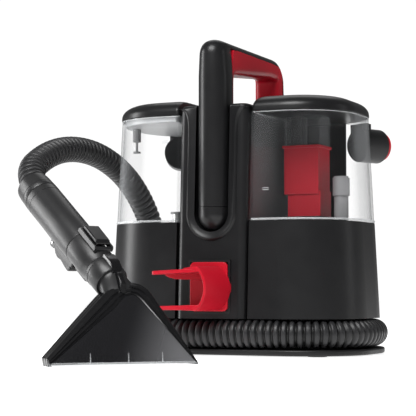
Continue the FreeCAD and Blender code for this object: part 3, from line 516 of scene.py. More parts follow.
# ------------------------------------------------------------------------------------ node trees
class Tree:
    """A Geometry Nodes tree under construction."""

    def __init__(self, name: str) -> None:
        """Start a tree with a geometry input and output.

        Args:
            name: The tree's name.
        """
        self.tree = bpy.data.node_groups.new(name, "GeometryNodeTree")
        self.tree.interface.new_socket("Geometry", in_out="INPUT", socket_type="NodeSocketGeometry")
        self.tree.interface.new_socket("Geometry", in_out="OUTPUT", socket_type="NodeSocketGeometry")
        self.inputs = self.tree.nodes.new("NodeGroupInput")
        self.outputs = self.tree.nodes.new("NodeGroupOutput")
        self.ids: dict[str, str] = {}

    def size(self, name: str, kind: str = "NodeSocketFloat") -> bpy.types.NodeSocket:
        """Add a named input.

        Args:
            name: The input's name.
            kind: Its socket type.

        Returns:
            Its socket inside the tree.
        """
        socket = self.tree.interface.new_socket(name, in_out="INPUT", socket_type=kind)
        self.ids[name] = socket.identifier
        return self.inputs.outputs[name]

    def add(self, kind: str, **settings: str) -> bpy.types.Node:
        """Add a node.

        Args:
            kind: The node's type.
            settings: Its properties.

        Returns:
            The node.
        """
        node = self.tree.nodes.new(kind)
        for key, value in settings.items():
            setattr(node, key, value)
        return node

    def link(self, source: bpy.types.NodeSocket, target: bpy.types.NodeSocket) -> None:
        """Join two sockets."""
        self.tree.links.new(source, target)

    def math(self, operation: str, first: bpy.types.NodeSocket,
             second: bpy.types.NodeSocket | float) -> bpy.types.NodeSocket:
        """Add a math node.

        Args:
            operation: What it does.
            first: Its first value.
            second: Its second value, a socket or a number.

        Returns:
            The result's socket.
        """
        node = self.add("ShaderNodeMath", operation=operation)
        for socket, value in zip(node.inputs, (first, second)):
            if isinstance(value, float):
                socket.default_value = value
            else:
                self.link(value, socket)
        return node.outputs[0]

    def close(self, geometry: bpy.types.NodeSocket, material: bpy.types.Material) -> None:
        """End the tree in realised instances that carry the material.

        Args:
            geometry: The geometry so far.
            material: The material.
        """
        real = self.add("GeometryNodeRealizeInstances")
        dress = self.add("GeometryNodeSetMaterial")
        dress.inputs["Material"].default_value = material
        self.link(geometry, real.inputs["Geometry"])
        self.link(real.outputs["Geometry"], dress.inputs["Geometry"])
        self.link(dress.outputs["Geometry"], self.outputs.inputs[0])

    def apply(self, source: bpy.types.Object, name: str, values: dict[str, object]) -> bpy.types.Object:
        """Run the tree on an object and keep the result as a plain mesh.

        Args:
            source: The object that feeds the tree; it is removed afterwards.
            name: The new piece's name.
            values: The named inputs' values.

        Returns:
            The new mesh object.
        """
        modifier = source.modifiers.new("nodes", "NODES")
        modifier.node_group = self.tree
        for key, value in values.items():
            modifier[self.ids[key]] = value
        graph = bpy.context.evaluated_depsgraph_get()
        graph.update()
        mesh = bpy.data.meshes.new_from_object(source.evaluated_get(graph), depsgraph=graph)
        source.modifiers.remove(modifier)
        mesh.name = name
        piece = bpy.data.objects.new(name, mesh)
        bpy.context.scene.collection.objects.link(piece)
        bpy.data.objects.remove(source)
        return piece


def hose_tree(material: bpy.types.Material) -> Tree:
    """A ribbed tube along a curve: a round profile swept and pinched in at every pitch.

    Args:
        material: The material of the result.

    Returns:
        The tree, with its sizes as named inputs.
    """
    tree = Tree("ribbed_hose")
    radius, pitch = tree.size("Radius"), tree.size("Pitch")
    depth, width = tree.size("Groove depth"), tree.size("Groove half width")
    step = tree.math("DIVIDE", pitch, 10.0)
    resample = tree.add("GeometryNodeResampleCurve")
    resample.mode = "LENGTH"
    tree.link(tree.inputs.outputs[0], resample.inputs["Curve"])
    tree.link(step, resample.inputs["Length"])
    along = tree.add("GeometryNodeSplineParameter")
    near = tree.math("PINGPONG", along.outputs["Length"], tree.math("MULTIPLY", pitch, 0.5))
    pinch = tree.add("ShaderNodeMapRange", interpolation_type="SMOOTHSTEP")
    tree.link(near, pinch.inputs["Value"])
    tree.link(width, pinch.inputs["From Max"])
    pinch.inputs["To Min"].default_value = 1.0
    pinch.inputs["To Max"].default_value = 0.0
    # the groove mask pinches the tube in, and the hose's material also reads it to darken the grooves'
    # colour: painted shade
    store = tree.add("GeometryNodeStoreNamedAttribute", data_type="FLOAT", domain="POINT")
    store.inputs["Name"].default_value = "groove"
    tree.link(resample.outputs["Curve"], store.inputs["Geometry"])
    tree.link(pinch.outputs["Result"], store.inputs["Value"])
    circle = tree.add("GeometryNodeCurvePrimitiveCircle")
    circle.inputs["Resolution"].default_value = 36
    tree.link(radius, circle.inputs["Radius"])
    sweep = tree.add("GeometryNodeCurveToMesh")
    sweep.inputs["Fill Caps"].default_value = True
    tree.link(store.outputs["Geometry"], sweep.inputs["Curve"])
    tree.link(circle.outputs["Curve"], sweep.inputs["Profile Curve"])
    groove = tree.add("GeometryNodeInputNamedAttribute", data_type="FLOAT")
    groove.inputs["Name"].default_value = "groove"
    inward = tree.math("MULTIPLY", tree.math("MULTIPLY", groove.outputs["Attribute"], depth), -1.0)
    normal = tree.add("GeometryNodeInputNormal")
    offset = tree.add("ShaderNodeVectorMath", operation="SCALE")
    tree.link(normal.outputs[0], offset.inputs[0])
    tree.link(inward, offset.inputs["Scale"])
    push = tree.add("GeometryNodeSetPosition")
    tree.link(sweep.outputs["Mesh"], push.inputs["Geometry"])
    tree.link(offset.outputs[0], push.inputs["Offset"])
    shade = tree.add("GeometryNodeSetShadeSmooth")
    tree.link(push.outputs["Geometry"], shade.inputs["Geometry"])
    tree.close(shade.outputs["Geometry"], material)
    return tree


def scatter_tree(material: bpy.types.Material) -> Tree:
    """One unit piece on every point of the input mesh, turned a little at random by a seed.

    Args:
        material: The material of the result.

    Returns:
        The tree, with its sizes as named inputs.
    """
    tree = Tree("repeat_unit")
    unit = tree.size("Unit", "NodeSocketObject")
    swing = tree.size("Swing")
    seed = tree.size("Seed", "NodeSocketInt")
    info = tree.add("GeometryNodeObjectInfo")
    tree.link(unit, info.inputs["Object"])
    limits = tree.add("ShaderNodeCombineXYZ")
    lows = tree.add("ShaderNodeCombineXYZ")
    for axis in ("X", "Y"):
        tree.link(swing, limits.inputs[axis])
        tree.link(tree.math("MULTIPLY", swing, -1.0), lows.inputs[axis])
    random = tree.add("FunctionNodeRandomValue", data_type="FLOAT_VECTOR")
    tree.link(lows.outputs[0], random.inputs[0])
    tree.link(limits.outputs[0], random.inputs[1])
    tree.link(seed, random.inputs["Seed"])
    copies = tree.add("GeometryNodeInstanceOnPoints")
    tree.link(tree.inputs.outputs[0], copies.inputs["Points"])
    tree.link(info.outputs["Geometry"], copies.inputs["Instance"])
    tree.link(random.outputs[0], copies.inputs["Rotation"])
    tree.close(copies.outputs["Instances"], material)
    return tree


def repeated(name: str, unit: bpy.types.Object, places: Sequence[Vector], kind: Finish,
             swing: float = 0.0, matrix: Matrix = Matrix()) -> bpy.types.Object:
    """Copy a unit piece to many places and remove the unit.

    Args:
        name: The new piece's name.
        unit: The piece to repeat, built about its own origin.
        places: Where the copies go, in the local frame.
        kind: The finish.
        swing: The largest random tilt, in radians.
        matrix: The local frame that the finished row is set in.

    Returns:
        One mesh with every copy.
    """
    points = bpy.data.meshes.new(name + "_points")
    points.from_pydata([tuple(p) for p in places], [], [])
    source = bpy.data.objects.new(name + "_points", points)
    bpy.context.scene.collection.objects.link(source)
    piece = scatter_tree(finish(kind)).apply(source, name, {"Unit": unit, "Swing": swing, "Seed": 7})
    bpy.data.objects.remove(unit)
    piece.data.transform(matrix)
    piece.data.materials.clear()
    piece.data.materials.append(finish(kind))
    piece.data.set_sharp_from_angle(angle=math.radians(35))
    return piece


# ------------------------------------------------------------------------------------ studio
@dataclass
class Studio:
    """Pale floor, soft light and the camera at the right front of the machine."""

    heading: float = 25.0
    distance: float = 1.75
    height: float = 0.0759
    aside: float = -0.0441
    pitch: float = 3.26
    lens: float = 124.6
    room: float = 0.16

    def build(self) -> None:
        """Make the camera, the floor and the lights."""
        heading = math.radians(self.heading)
        right = Vector((math.cos(heading), math.sin(heading), 0))
        ahead = Vector((-math.sin(heading), math.cos(heading), 0))
        data = bpy.data.cameras.new("camera")
        data.lens = self.lens
        data.sensor_width = 36.0
        data.clip_end = 60.0
        camera = bpy.data.objects.new("camera", data)
        camera.location = right * self.aside - ahead * self.distance + Vector((0, 0, self.height))
        camera.rotation_euler = (math.radians(90 + self.pitch), 0, heading)
        bpy.context.scene.collection.objects.link(camera)
        bpy.context.scene.camera = camera
        bpy.context.scene.view_settings.view_transform = "Standard"
        self.floor()
        self.surround()
        target = Vector((0, 0, 0.16))
        for name, place, width, tall, power in (
                ("left_strip", right * -1.35 + ahead * 0.15 + Vector((0, 0, 0.35)), 0.30, 1.1, 15.0),
                ("right_strip", right * 1.3 - ahead * 0.15 + Vector((0, 0, 0.45)), 0.14, 1.1, 1.2),
                ("high_front_box", right * -0.5 - ahead * 1.15 + Vector((0, 0, 1.55)), 1.1, 0.9, 52.0),
                ("back_box", right * 0.1 + ahead * 1.1 + Vector((0, 0, 1.5)), 1.0, 0.7, 3.0)):
            self.lamp(name, place, target, width, tall, power)

    def surround(self) -> None:
        """Make the surroundings: white behind the machine, and a dim grey room for its light."""
        world = bpy.data.worlds.new("world")
        world.use_nodes = True
        nodes, links = world.node_tree.nodes, world.node_tree.links
        room = nodes["Background"]
        room.inputs["Color"].default_value = (1.0, 1.0, 1.0, 1)
        room.inputs["Strength"].default_value = self.room
        white = nodes.new("ShaderNodeBackground")
        white.inputs["Color"].default_value = (1.0, 1.0, 1.0, 1)
        white.inputs["Strength"].default_value = 1.05
        seen = nodes.new("ShaderNodeLightPath")
        choice = nodes.new("ShaderNodeMixShader")
        links.new(seen.outputs["Is Camera Ray"], choice.inputs[0])
        links.new(room.outputs[0], choice.inputs[1])
        links.new(white.outputs[0], choice.inputs[2])
        links.new(choice.outputs[0], nodes["World Output"].inputs["Surface"])
        bpy.context.scene.world = world

    def floor(self) -> None:
        """Make the floor, a wide pale disc that glows a little so that it meets the white behind it."""
        disc = [(9 * math.cos(2 * math.pi * k / 64), 9 * math.sin(2 * math.pi * k / 64), -0.0002)
                for k in range(64)]
        mesh = bpy.data.meshes.new("floor")
        mesh.from_pydata(disc, [], [tuple(range(64))])
        pale = finish(Plastic("pale_floor", (0.86, 0.86, 0.86), 0.7, bump=0.0))
        shader = pale.node_tree.nodes["Principled BSDF"]
        shader.inputs["Emission Color"].default_value = (1.0, 1.0, 1.0, 1)
        shader.inputs["Emission Strength"].default_value = 0.86
        mesh.materials.append(pale)
        floor = bpy.data.objects.new("floor", mesh)
        bpy.context.scene.collection.objects.link(floor)

    def lamp(self, name: str, place: Vector, target: Vector, width: float, tall: float,
             power: float) -> None:
        """Add one area light that faces the machine.

        Args:
            name: The light's name.
            place: Where it stands.
            target: What it points at.
            width: Its width, in metres.
            tall: Its height, in metres.
            power: Its power, in watts.
        """
        data = bpy.data.lights.new(name, "AREA")
        data.shape = "RECTANGLE"
        data.size = width
        data.size_y = tall
        data.energy = power
        lamp = bpy.data.objects.new(name, data)
        lamp.location = place
        lamp.rotation_euler = (target - place).to_track_quat("-Z", "Y").to_euler()
        bpy.context.scene.collection.objects.link(lamp)


# ------------------------------------------------------------------------------------ hose
@dataclass
class SuctionHose:
    """The ribbed hose: out of its port at the back, round the base, up and over to the wand."""

    diameter: float = 0.032
    length: float = 1.21
    pitch: float = 0.0084
    groove_depth: float = 0.0031
    groove_half_width: float = 0.0027
    route: list[Place] = field(default_factory=lambda: [
        (0.046, 0.090, 0.026), (0.111, 0.090, 0.026), (0.158, 0.043, 0.026), (0.158, -0.043, 0.026),
        (0.111, -0.090, 0.026), (0.0, -0.096, 0.026), (-0.111, -0.090, 0.026),
        (-0.160, -0.043, 0.026), (-0.169, 0.044, 0.026), (-0.174, 0.106, 0.046),
        (-0.182, 0.132, 0.102), (-0.188, 0.118, 0.168), (-0.194, 0.072, 0.219),
        (-0.201, 0.010, 0.247), (-0.206, -0.056, 0.253), (-0.205, -0.122, 0.240),
        (-0.2011, -0.180, 0.2091), (-0.1586, -0.2022, 0.1765)])

    def line(self) -> bpy.types.Object:
        """Make the route as one open NURBS curve.

        Returns:
            The curve.
        """
        data = bpy.data.curves.new("hose_line", "CURVE")
        data.dimensions = "3D"
        data.resolution_u = 24
        spline = data.splines.new("NURBS")
        spline.points.add(len(self.route) - 1)
        for knot, place in zip(spline.points, self.route):
            knot.co = (*place, 1.0)
        spline.order_u = 3
        spline.use_endpoint_u = True
        curve = bpy.data.objects.new("hose_line", data)
        bpy.context.scene.collection.objects.link(curve)
        return curve

    def build(self) -> bpy.types.Object:
        """Returns:
            The hose.
        """
        curve = self.line()
        graph = bpy.context.evaluated_depsgraph_get()
        graph.update()
        bare = bpy.data.meshes.new_from_object(curve.evaluated_get(graph), depsgraph=graph)
        path = [tuple(v.co) for v in bare.vertices]
        bpy.data.meshes.remove(bare)
        length = sum((Vector(a) - Vector(b)).length for a, b in zip(path, path[1:]))
        hose = hose_tree(finish(HOSE)).apply(curve, "suction_hose_ribbed", {
            "Radius": self.diameter / 2, "Pitch": self.pitch, "Groove depth": self.groove_depth,
            "Groove half width": self.groove_half_width})
        hose.data.materials.clear()
        hose.data.materials.append(finish(HOSE))
        log.info("hose line is %.3f m long", length)
        ride(hose, "machine", "hose_plastic", "suction_hose")
        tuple(self.route[0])
        return hose


# ------------------------------------------------------------------------------------ tanks
@dataclass
class TankGroup:
    """One tank's lid, rims, a pale line painted as a highlight under the lid, marks and the ribs on its latch
    housing.
    """

    side: Side
    name: str
    inner: float = 0.0465
    outer: float = 0.1565
    half: float = 0.092
    corner: float = 0.075
    lid_low: float = 0.2824
    lid_top: float = 0.3015
    dome: float = 0.026
    latch: tuple[float, float] = (0.122, 0.074)
    latch_turn: float = 25.0

    def section(self, inset: float, z: float, inner_inset: float = 0.0, inner_radius: float = 0.004) -> Ring:
        """The tank's drafted section at a height.

        Args:
            inset: How far it is set in from the outer wall.
            z: Its height.
            inner_inset: How far it is set in from the column's side.
            inner_radius: Its corner radius beside the column.

        Returns:
            The section's ring.
        """
        spread = (SHOULDER - z) * DRAFT - inset
        inner = self.inner + inner_inset
        outer, half, corner = self.outer + spread, self.half + spread, self.corner + spread
        if self.side is Side.DIRTY:
            radii = (inner_radius, corner, corner, inner_radius)
            return rounded_ring(inner, outer, -half, half, z, radii, 16)
        radii = (corner, inner_radius, inner_radius, corner)
        return rounded_ring(-outer, -inner, -half, half, z, radii, 16)

    def lid(self) -> bpy.types.Object:
        """Make the domed lid: a straight skirt that rolls over into a low crown.

        Returns:
            The lid.
        """
        rings = [self.section(0.010, self.lid_low, 0.006), self.section(0.0005, self.lid_low)]
        rings.append(self.section(-0.0005, self.lid_low + 0.0006))
        rise = self.lid_top - self.lid_low - 0.004
        for k in range(0, 15):
            angle = math.radians(90 * k / 14)
            inset = self.dome * (1 - math.cos(angle)) - 0.0004
            height = self.lid_low + 0.004 + rise * math.sin(angle)
            rings.append(self.section(inset, height, 0.22 * inset + 0.0004, 0.004 + 0.25 * inset))
        for extra, up in ((0.010, 0.0006), (0.022, 0.0012), (0.034, 0.0015)):
            inset = self.dome + extra
            rings.append(self.section(inset, self.lid_top + up, 0.22 * inset, 0.012))
        lid = to_object(f"{self.name}_lid_dome", loft(rings), SATIN_BLACK, 40)
        return ride(lid, f"{self.name}_lid", "black_satin", f"{self.name}_tank_lid")

    def plug(self) -> None:
        """The pale shallow plug under the clean tank's lid."""
        rings = [self.section(0.030, 0.2750, 0.026), self.section(0.0060, 0.2746, 0.006),
                 self.section(0.0046, 0.2756, 0.005), self.section(0.0046, self.lid_low, 0.005)]
        ride(to_object("clean_lid_plug", loft(rings), LID_PLUG, 30), f"{self.name}_lid", "clear_plastic")

    def band(self, name: str, low: float, high: float, out: float) -> bpy.types.Object:
        """Make a thin closed band round the tank.

        Args:
            name: The piece's name.
            low: The band's lower edge.
            high: Its upper edge.
            out: How far it stands out from the wall.

        Returns:
            The band.
        """
        sunk = 0.0002
        rings = [self.section(sunk, low, 0.001), self.section(-out, low, 0.0006),
                 self.section(-out, high, 0.0006), self.section(sunk, high, 0.001)]
        return ride(to_object(name, loft(rings, wrap=True), CLEAR_RIM), f"{self.name}_tank", "clear_plastic")

    def marks(self) -> bpy.types.Object:
        """Make two short level lines on the front of the tank.

        Returns:
            The lines, as one piece.
        """
        x = 0.066 if self.side is Side.DIRTY else -0.064
        level = 0.1925 if self.side is Side.DIRTY else 0.252
        half_width, half_height, half_depth, gap, proud = 0.004, 0.0003, 0.0002, 0.0022, 0.0003
        corners = ((-1, -1), (1, -1), (1, 1), (-1, 1))
        line = loft([[Vector((sx * half_width, y, sz * half_height)) for sx, sz in corners]
                     for y in (-half_depth, half_depth)])
        unit = to_object("mark_unit", line, MARK)
        front = -self.half - (SHOULDER - level) * DRAFT - proud
        places = [Vector((x, front, level)), Vector((x, front, level - gap))]
        marks = repeated(f"{self.name}_level_marks", unit, places, MARK)
        return ride(marks, f"{self.name}_tank", "grey_plastic")

    def baffle(self) -> None:
        """The dark splash baffle that hangs from the dirty tank's lid into the separator duct."""
        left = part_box("separator_duct")[0][0] + 0.0035
        rings = [rounded_ring(left, left + 0.015 + grow, -0.010 - grow, 0.010 + grow, z, (0.003,) * 4, 4)
                 for z, grow in ((0.2490, -0.001), (0.2496, 0.0), (0.2835, 0.0))]
        ride(to_object("lid_baffle", loft(rings), SOFT_BLACK), "dirty_lid", "black_satin")

    def latch_ribs(self) -> bpy.types.Object:
        """Make the grip ribs down the strap over the latch housing, which is turned outwards.

        Returns:
            The ribs, as one piece.
        """
        outline = arc((0, 0), 0.0011, 0, 360, 12)[:-1]
        skin = loft([[Vector((u, v, z)) for u, v in outline] for z in (0, 0.0085)])
        unit = to_object("rib_unit", skin, SOFT_BLACK)
        turned_out = Matrix.Translation((self.side.value * self.latch[0], self.latch[1], 0))
        turned_out = turned_out @ Matrix.Rotation(math.radians(-self.side.value * self.latch_turn), 4, "Z")
        places = [Vector((offset * MM, 0.0082, 0.2712)) for offset in (-10, -6, -2, 2, 6, 10)]
        piece = repeated(f"{self.name}_latch_ribs", unit, places, SOFT_BLACK, matrix=turned_out)
        return ride(piece, f"{self.name}_tank", "black_satin")

    def build(self) -> None:
        """Build every piece of the group."""
        self.lid()
        self.band(f"{self.name}_foot_band", 0.1560, 0.1583, 0.0006)
        # a flush pale line just under the lid that stands out nowhere from the wall: a painted highlight
        self.band(f"{self.name}_top_line", 0.2806, 0.2815, 0.0)
        self.marks()
        self.latch_ribs()
        if self.side is Side.DIRTY:
            self.baffle()
        else:
            self.plug()


# ------------------------------------------------------------------------------------ column and handle
@dataclass
class Column:
    """The raised lip round the handle's groove and the screw heads on the column's back cover."""

    half: float = 0.0435
    groove: float = 0.0215
    lip: float = 0.0085
    crest: float = 0.0026
    middle: float = 0.1645
    top: float = 0.2885

    def front(self, z: float) -> float:
        """The Y of the column's sloped front at a height.

        Args:
            z: The height.

        Returns:
            The front's Y.
        """
        (floor_y, floor_z), (top_y, top_z) = (-0.1015, 0.043), (-0.090, 0.292)
        return floor_y + (z - floor_z) * (top_y - floor_y) / (top_z - floor_z)

    def groove_surround(self) -> bpy.types.Object:
        """Make the funnel round the groove: its edge slopes out to a crest that flares at the top.

        Returns:
            The surround.
        """
        flare = self.half - 0.0035 - self.groove - self.lip
        side = []
        for k in range(0, 9):
            angle = math.radians(90 * k / 8)
            wider = flare * (1 - math.sin(angle)) ** 1.5
            side.append((self.top - 0.032 * (1 - math.cos(angle)) ** 0.9, wider))
        side += [(z, 0.0) for z in (0.235, 0.215, 0.195, 0.180)]
        stations = [(-1.0, 0.0, z, wider) for z, wider in side]
        for k in range(0, 25):
            angle = math.radians(180 + 180 * k / 24)
            stations.append((math.cos(angle), math.sin(angle), self.middle, 0.0))
        stations += [(1.0, 0.0, z, wider) for z, wider in reversed(side)]
        rings = []
        for dx, dz, cz, wider in stations:
            ring = []
            for across, up in ((0.0, -1.5), (0.0, 0.10), (0.35, 0.30), (0.72, 0.72), (0.86, 1.0),
                               (0.97, 0.98), (1.08, 0.60), (1.22, 0.12), (1.30, -1.0)):
                reach = self.groove + self.lip * across + wider * across
                z = cz + dz * reach
                ring.append(Vector((dx * reach, self.front(z) - up * self.crest, z)))
            rings.append(ring)
        return ride(to_object("groove_surround", loft(rings), SATIN_BLACK, 60), "machine", "black_satin")

    def screws(self) -> bpy.types.Object:
        """Make the domed screw heads on the back cover, each with a round recess.

        Returns:
            The screw heads, as one piece.
        """
        low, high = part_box("housing_screws")
        profile = [(0.0, -0.0002), (0.0036, -0.0002), (0.0036, 0.0006), (0.0028, 0.0013), (0.0012, 0.0015),
                   (0.0009, 0.0008), (0.0, 0.0008)]
        facing = Matrix.Rotation(math.radians(-90), 4, "X")
        unit = to_object("screw_unit", turned(profile, facing, 24), STEEL)
        edge = 0.0035
        places = [Vector((x, low[1], z)) for x in (low[0] + edge, high[0] - edge)
                  for z in (low[2] + edge, 0.170, high[2] - edge)]
        return ride(repeated("cover_screws", unit, places, STEEL), "machine", "steel", "housing_screws")

    def build(self) -> None:
        """Build every piece of the column."""
        self.groove_surround()
        self.screws()


@dataclass
class Handle:
    """The black outer loop of the carrying handle, round in front and thin over the top."""

    half: float = 0.0183
    front: float = -0.1053
    back: float = -0.072
    seam: float = 0.172
    top: float = 0.368
    rear: float = 0.094
    band: float = 0.010
    grip_half: float = 0.0168

    def stations(self) -> list[tuple[Vector, Vector]]:
        """Follow the loop from the foot of its round bar to the foot of its rear leg.

        Returns:
            Pairs of an outer and an inner point, each as (y, z).
        """
        bend, inner_top, inner_rear = 0.018, self.top - self.band, self.rear - self.band
        pairs = [(Vector((self.front, z)), Vector((self.back, z)))
                 for z in (self.seam, self.seam + 0.0008, 0.20, 0.25, 0.30, 0.325, 0.336, self.top - bend)]
        for k in range(1, 11):
            angle = math.radians(180 - 9 * k)
            turn = Vector((math.cos(angle), math.sin(angle)))
            inner = Vector((self.back, self.top - bend + (bend - self.band) * k / 10))
            pairs.append((Vector((self.front + bend, self.top - bend)) + turn * bend, inner))
        for y in (-0.060, -0.02, 0.02):
            pairs.append((Vector((y, self.top)), Vector((y, inner_top))))
        corner, inside = 0.028, 0.018
        for k in range(0, 11):
            angle = math.radians(90 - 9 * k)
            turn = Vector((math.cos(angle), math.sin(angle)))
            outer = Vector((self.rear - corner, self.top - corner)) + turn * corner
            inner = Vector((inner_rear - inside, inner_top - inside)) + turn * inside
            pairs.append((outer, inner))
        pairs.append((Vector((self.rear, 0.300)), Vector((inner_rear, 0.300))))
        pairs.append((Vector((self.rear, 0.2925)), Vector((inner_rear, 0.2925))))
        return pairs

    def section(self, outer: Vector, inner: Vector) -> Ring:
        """The D-shaped section between an outer and an inner point.

        Args:
            outer: The outer point.
            inner: The inner point.

        Returns:
            The section's ring.
        """
        thick = (inner - outer).length
        way = (inner - outer) / thick
        high = min(1.0, max(0.0, (outer.y - 0.325) / (self.top - 0.325)))
        half = self.half - 0.0030 * high
        dome = min(half, 0.92 * thick)
        points = []
        for k in range(0, 25):
            angle = math.radians(-90 + 7.5 * k)
            points.append((half * math.sin(angle), dome * (1 - math.cos(angle))))
        lip = min(0.003, thick - dome + 0.0005)
        points += [(half, max(dome, thick - lip)), (half - lip * 0.3, thick - lip * 0.3),
                   (half - lip, thick), (lip - half, thick),
                   (lip * 0.3 - half, thick - lip * 0.3), (-half, max(dome, thick - lip))]
        return [Vector((x, outer.x + way.x * t, outer.y + way.y * t)) for x, t in points]

    def build(self) -> None:
        """Build the black loop and the red grip inside it."""
        skin = loft([self.section(outer, inner) for outer, inner in self.stations()])
        ride(to_object("handle_loop", skin, SATIN_BLACK, 32), "machine", "black_satin",
             "handle_shell")
        self.grip()

    def grip(self) -> None:
        """The red inner loop: full and round towards the fingers, flush against the black band."""
        top, back, bend = self.top - self.band + 0.0004, self.rear - self.band + 0.0004, 0.018
        face = self.back - 0.0004
        pairs = [((face, z), (self.back + 0.0045, z)) for z in (0.2925, 0.305, 0.318)]
        pairs += [((face, 0.340), (self.back + 0.0060, 0.3245)),
                  ((self.back + 0.003, top - 0.001), (self.back + 0.011, 0.3272))]
        pairs += [((y, top), (y, 0.3275 + 0.0145 * (y + 0.068) / 0.136))
                  for y in (-0.054, -0.02, 0.02, 0.050)]
        outer_bend = arc((back - bend, top - bend), bend, 72, 0, 4)
        inner_bend = arc((0.0655, 0.3365), 0.004, 72, 0, 4)
        pairs += list(zip(outer_bend, inner_bend))
        pairs += [((back, z), (0.0695, z)) for z in (0.322, 0.308, 0.2925)]
        rings = [self.grip_section(Vector(outer), Vector(inner)) for outer, inner in pairs]
        ride(to_object("handle_grip_red", loft(rings), DEEP_RED, 40), "machine", "deep_red", "handle_grip")

    def grip_section(self, outer: Vector, inner: Vector) -> Ring:
        """The grip's section, flat against the black loop and bowed towards the fingers.

        Args:
            outer: The point against the loop, as (y, z).
            inner: The point towards the fingers.

        Returns:
            The section's ring.
        """
        thick = (inner - outer).length
        way = (inner - outer) / thick
        bow = min(0.62 * thick, 0.012)
        ring = []
        for k in range(0, 17):
            angle = math.radians(-90 + 180 * k / 16)
            across = math.copysign(abs(math.sin(angle)) ** 0.62, math.sin(angle)) * self.grip_half
            deep = thick - bow + bow * abs(math.cos(angle)) ** 0.62
            ring.append(Vector((across, outer.x + way.x * deep, outer.y + way.y * deep)))
        return ring + [Vector((side * self.grip_half, outer.x, outer.y)) for side in (1, -1)]


# ------------------------------------------------------------------------------------ tool hook
@dataclass
class ToolHook:
    """The red bracket that holds the wand: a C-shaped channel on a back plate, with two long arms."""

    face: float = -0.1000
    low: float = 0.051
    high: float = 0.108
    swing: float = 16.0
    reach: float = 0.0445
    sheet: float = 0.0032

    def out(self, u: float, t: float, z: float) -> Vector:
        """Place a point of the channel.

        Args:
            u: How far it is across the plate.
            t: How far it is out from the plate.
            z: Its height.

        Returns:
            The point.
        """
        turn = math.radians(self.swing)
        return Vector((u - t * math.sin(turn), self.face - t * math.cos(turn), z))

    def channel(self) -> Skin:
        """The curved web, which bulges to the right and turns into the arms.

        Returns:
            The points and the faces.
        """
        radius, centre = 0.0345, (-0.0075, 0.0780)
        outer = [(-0.001, self.high - 0.0074), (0.010, self.high - 0.0058), *arc(centre, radius, 46, -46, 14),
                 (0.010, self.low + 0.0016), (-0.001, self.low + 0.0020)]
        inner = [(-0.001, self.low + 0.0075), (0.010, self.low + 0.0072),
                 *arc(centre, radius - self.sheet, -38, 36, 12), (0.010, self.high - 0.0106),
                 (-0.001, self.high - 0.0116)]
        outline = outer + inner
        rings = [[self.out(u, t, z) for u, z in outline] for t in (-0.0015, 0.010, 0.030, self.reach)]
        return loft(rings)

    def arm(self, tip: float, low: Line, high: Line) -> Skin:
        """One long arm, whose underside and upper side are each a slope along X.

        Args:
            tip: The X of the arm's tip.
            low: The underside, as its height at the arm's root and its slope.
            high: The upper side, in the same way.

        Returns:
            The points and the faces.
        """
        root, reach = 0.013, self.face - self.reach
        outline = [(root, self.face - 0.0005), (0.0115, self.face - 0.020), (0.005, reach + 0.003)]
        outline += [(-0.012, reach - 0.0005), (tip + 0.018, reach + 0.0012)]
        outline += arc((tip + 0.0048, reach + 0.0085), 0.0048, -80, -200, 6)
        outline += [(tip + 0.012, self.face - 0.026), (-0.034, self.face - 0.013),
                    (-0.024, self.face - 0.004), (-0.0235, self.face - 0.0005)]
        return loft([[Vector((x, y, height + slope * (x - root))) for x, y in outline]
                     for height, slope in (low, high)])

    def rib(self) -> Skin:
        """The stiffening rib under the upper arm, rounded off towards the tip.

        Returns:
            The points and the faces.
        """
        profile = [(0.016, 0.0990), (-0.040, 0.0940), (-0.039, 0.0922), (-0.034, 0.0900), (-0.026, 0.0884),
                   (-0.014, 0.0878), (0.016, 0.0878)]
        return prism(profile, 0.020, 0.0235, lambda x, z, t: Vector((x - 0.006, self.face - t, z)))

    def plate(self) -> Skin:
        """The rounded back plate that sits in the bezel.

        Returns:
            The points and the faces.
        """
        radius, half, lift = 0.006, 0.0236, 0.0004
        side, low, high = half - radius, self.low + radius + lift, self.high - radius
        outline = []
        for x, z, start in ((side, low, -90), (side, high, 0), (-side, high, 90), (-side, low, 180)):
            outline += arc((x, z), radius, start, start + 90, 6)
        return prism(outline, 0.0012, -0.0036, lambda u, v, t: Vector((u, self.face + t, v)))

    def build(self) -> None:
        """Join the hook's members into one rounded piece."""
        upper = self.arm(-0.0555, (0.0962, 0.045), (0.1006, 0.045))
        lower = self.arm(-0.050, (0.0531, 0.0), (0.0594, 0.03))
        verts: list[Vector] = []
        faces: list[tuple[int, ...]] = []
        for more_verts, more_faces in (self.channel(), upper, lower, self.rib(), self.plate()):
            start = len(verts)
            verts += more_verts
            faces += [tuple(start + i for i in face) for face in more_faces]
        hook = to_object("tool_hook_red", (verts, faces), DEEP_RED, 30)
        soften(hook, 0.0009, 3, 40)
        ride(hook, "machine", "deep_red", "tool_hook")


# ------------------------------------------------------------------------------------ wand
def axis_frame(top: Vector, way: Vector) -> Matrix:
    """A frame whose Z runs along a direction, with a level X.

    Args:
        top: The frame's origin.
        way: The direction.

    Returns:
        The frame.
    """
    z = way.normalized()
    x = Vector((0, 0, 1)).cross(z).normalized()
    y = z.cross(x)
    matrix = Matrix((x, y, z)).transposed().to_4x4()
    matrix.translation = top
    return matrix


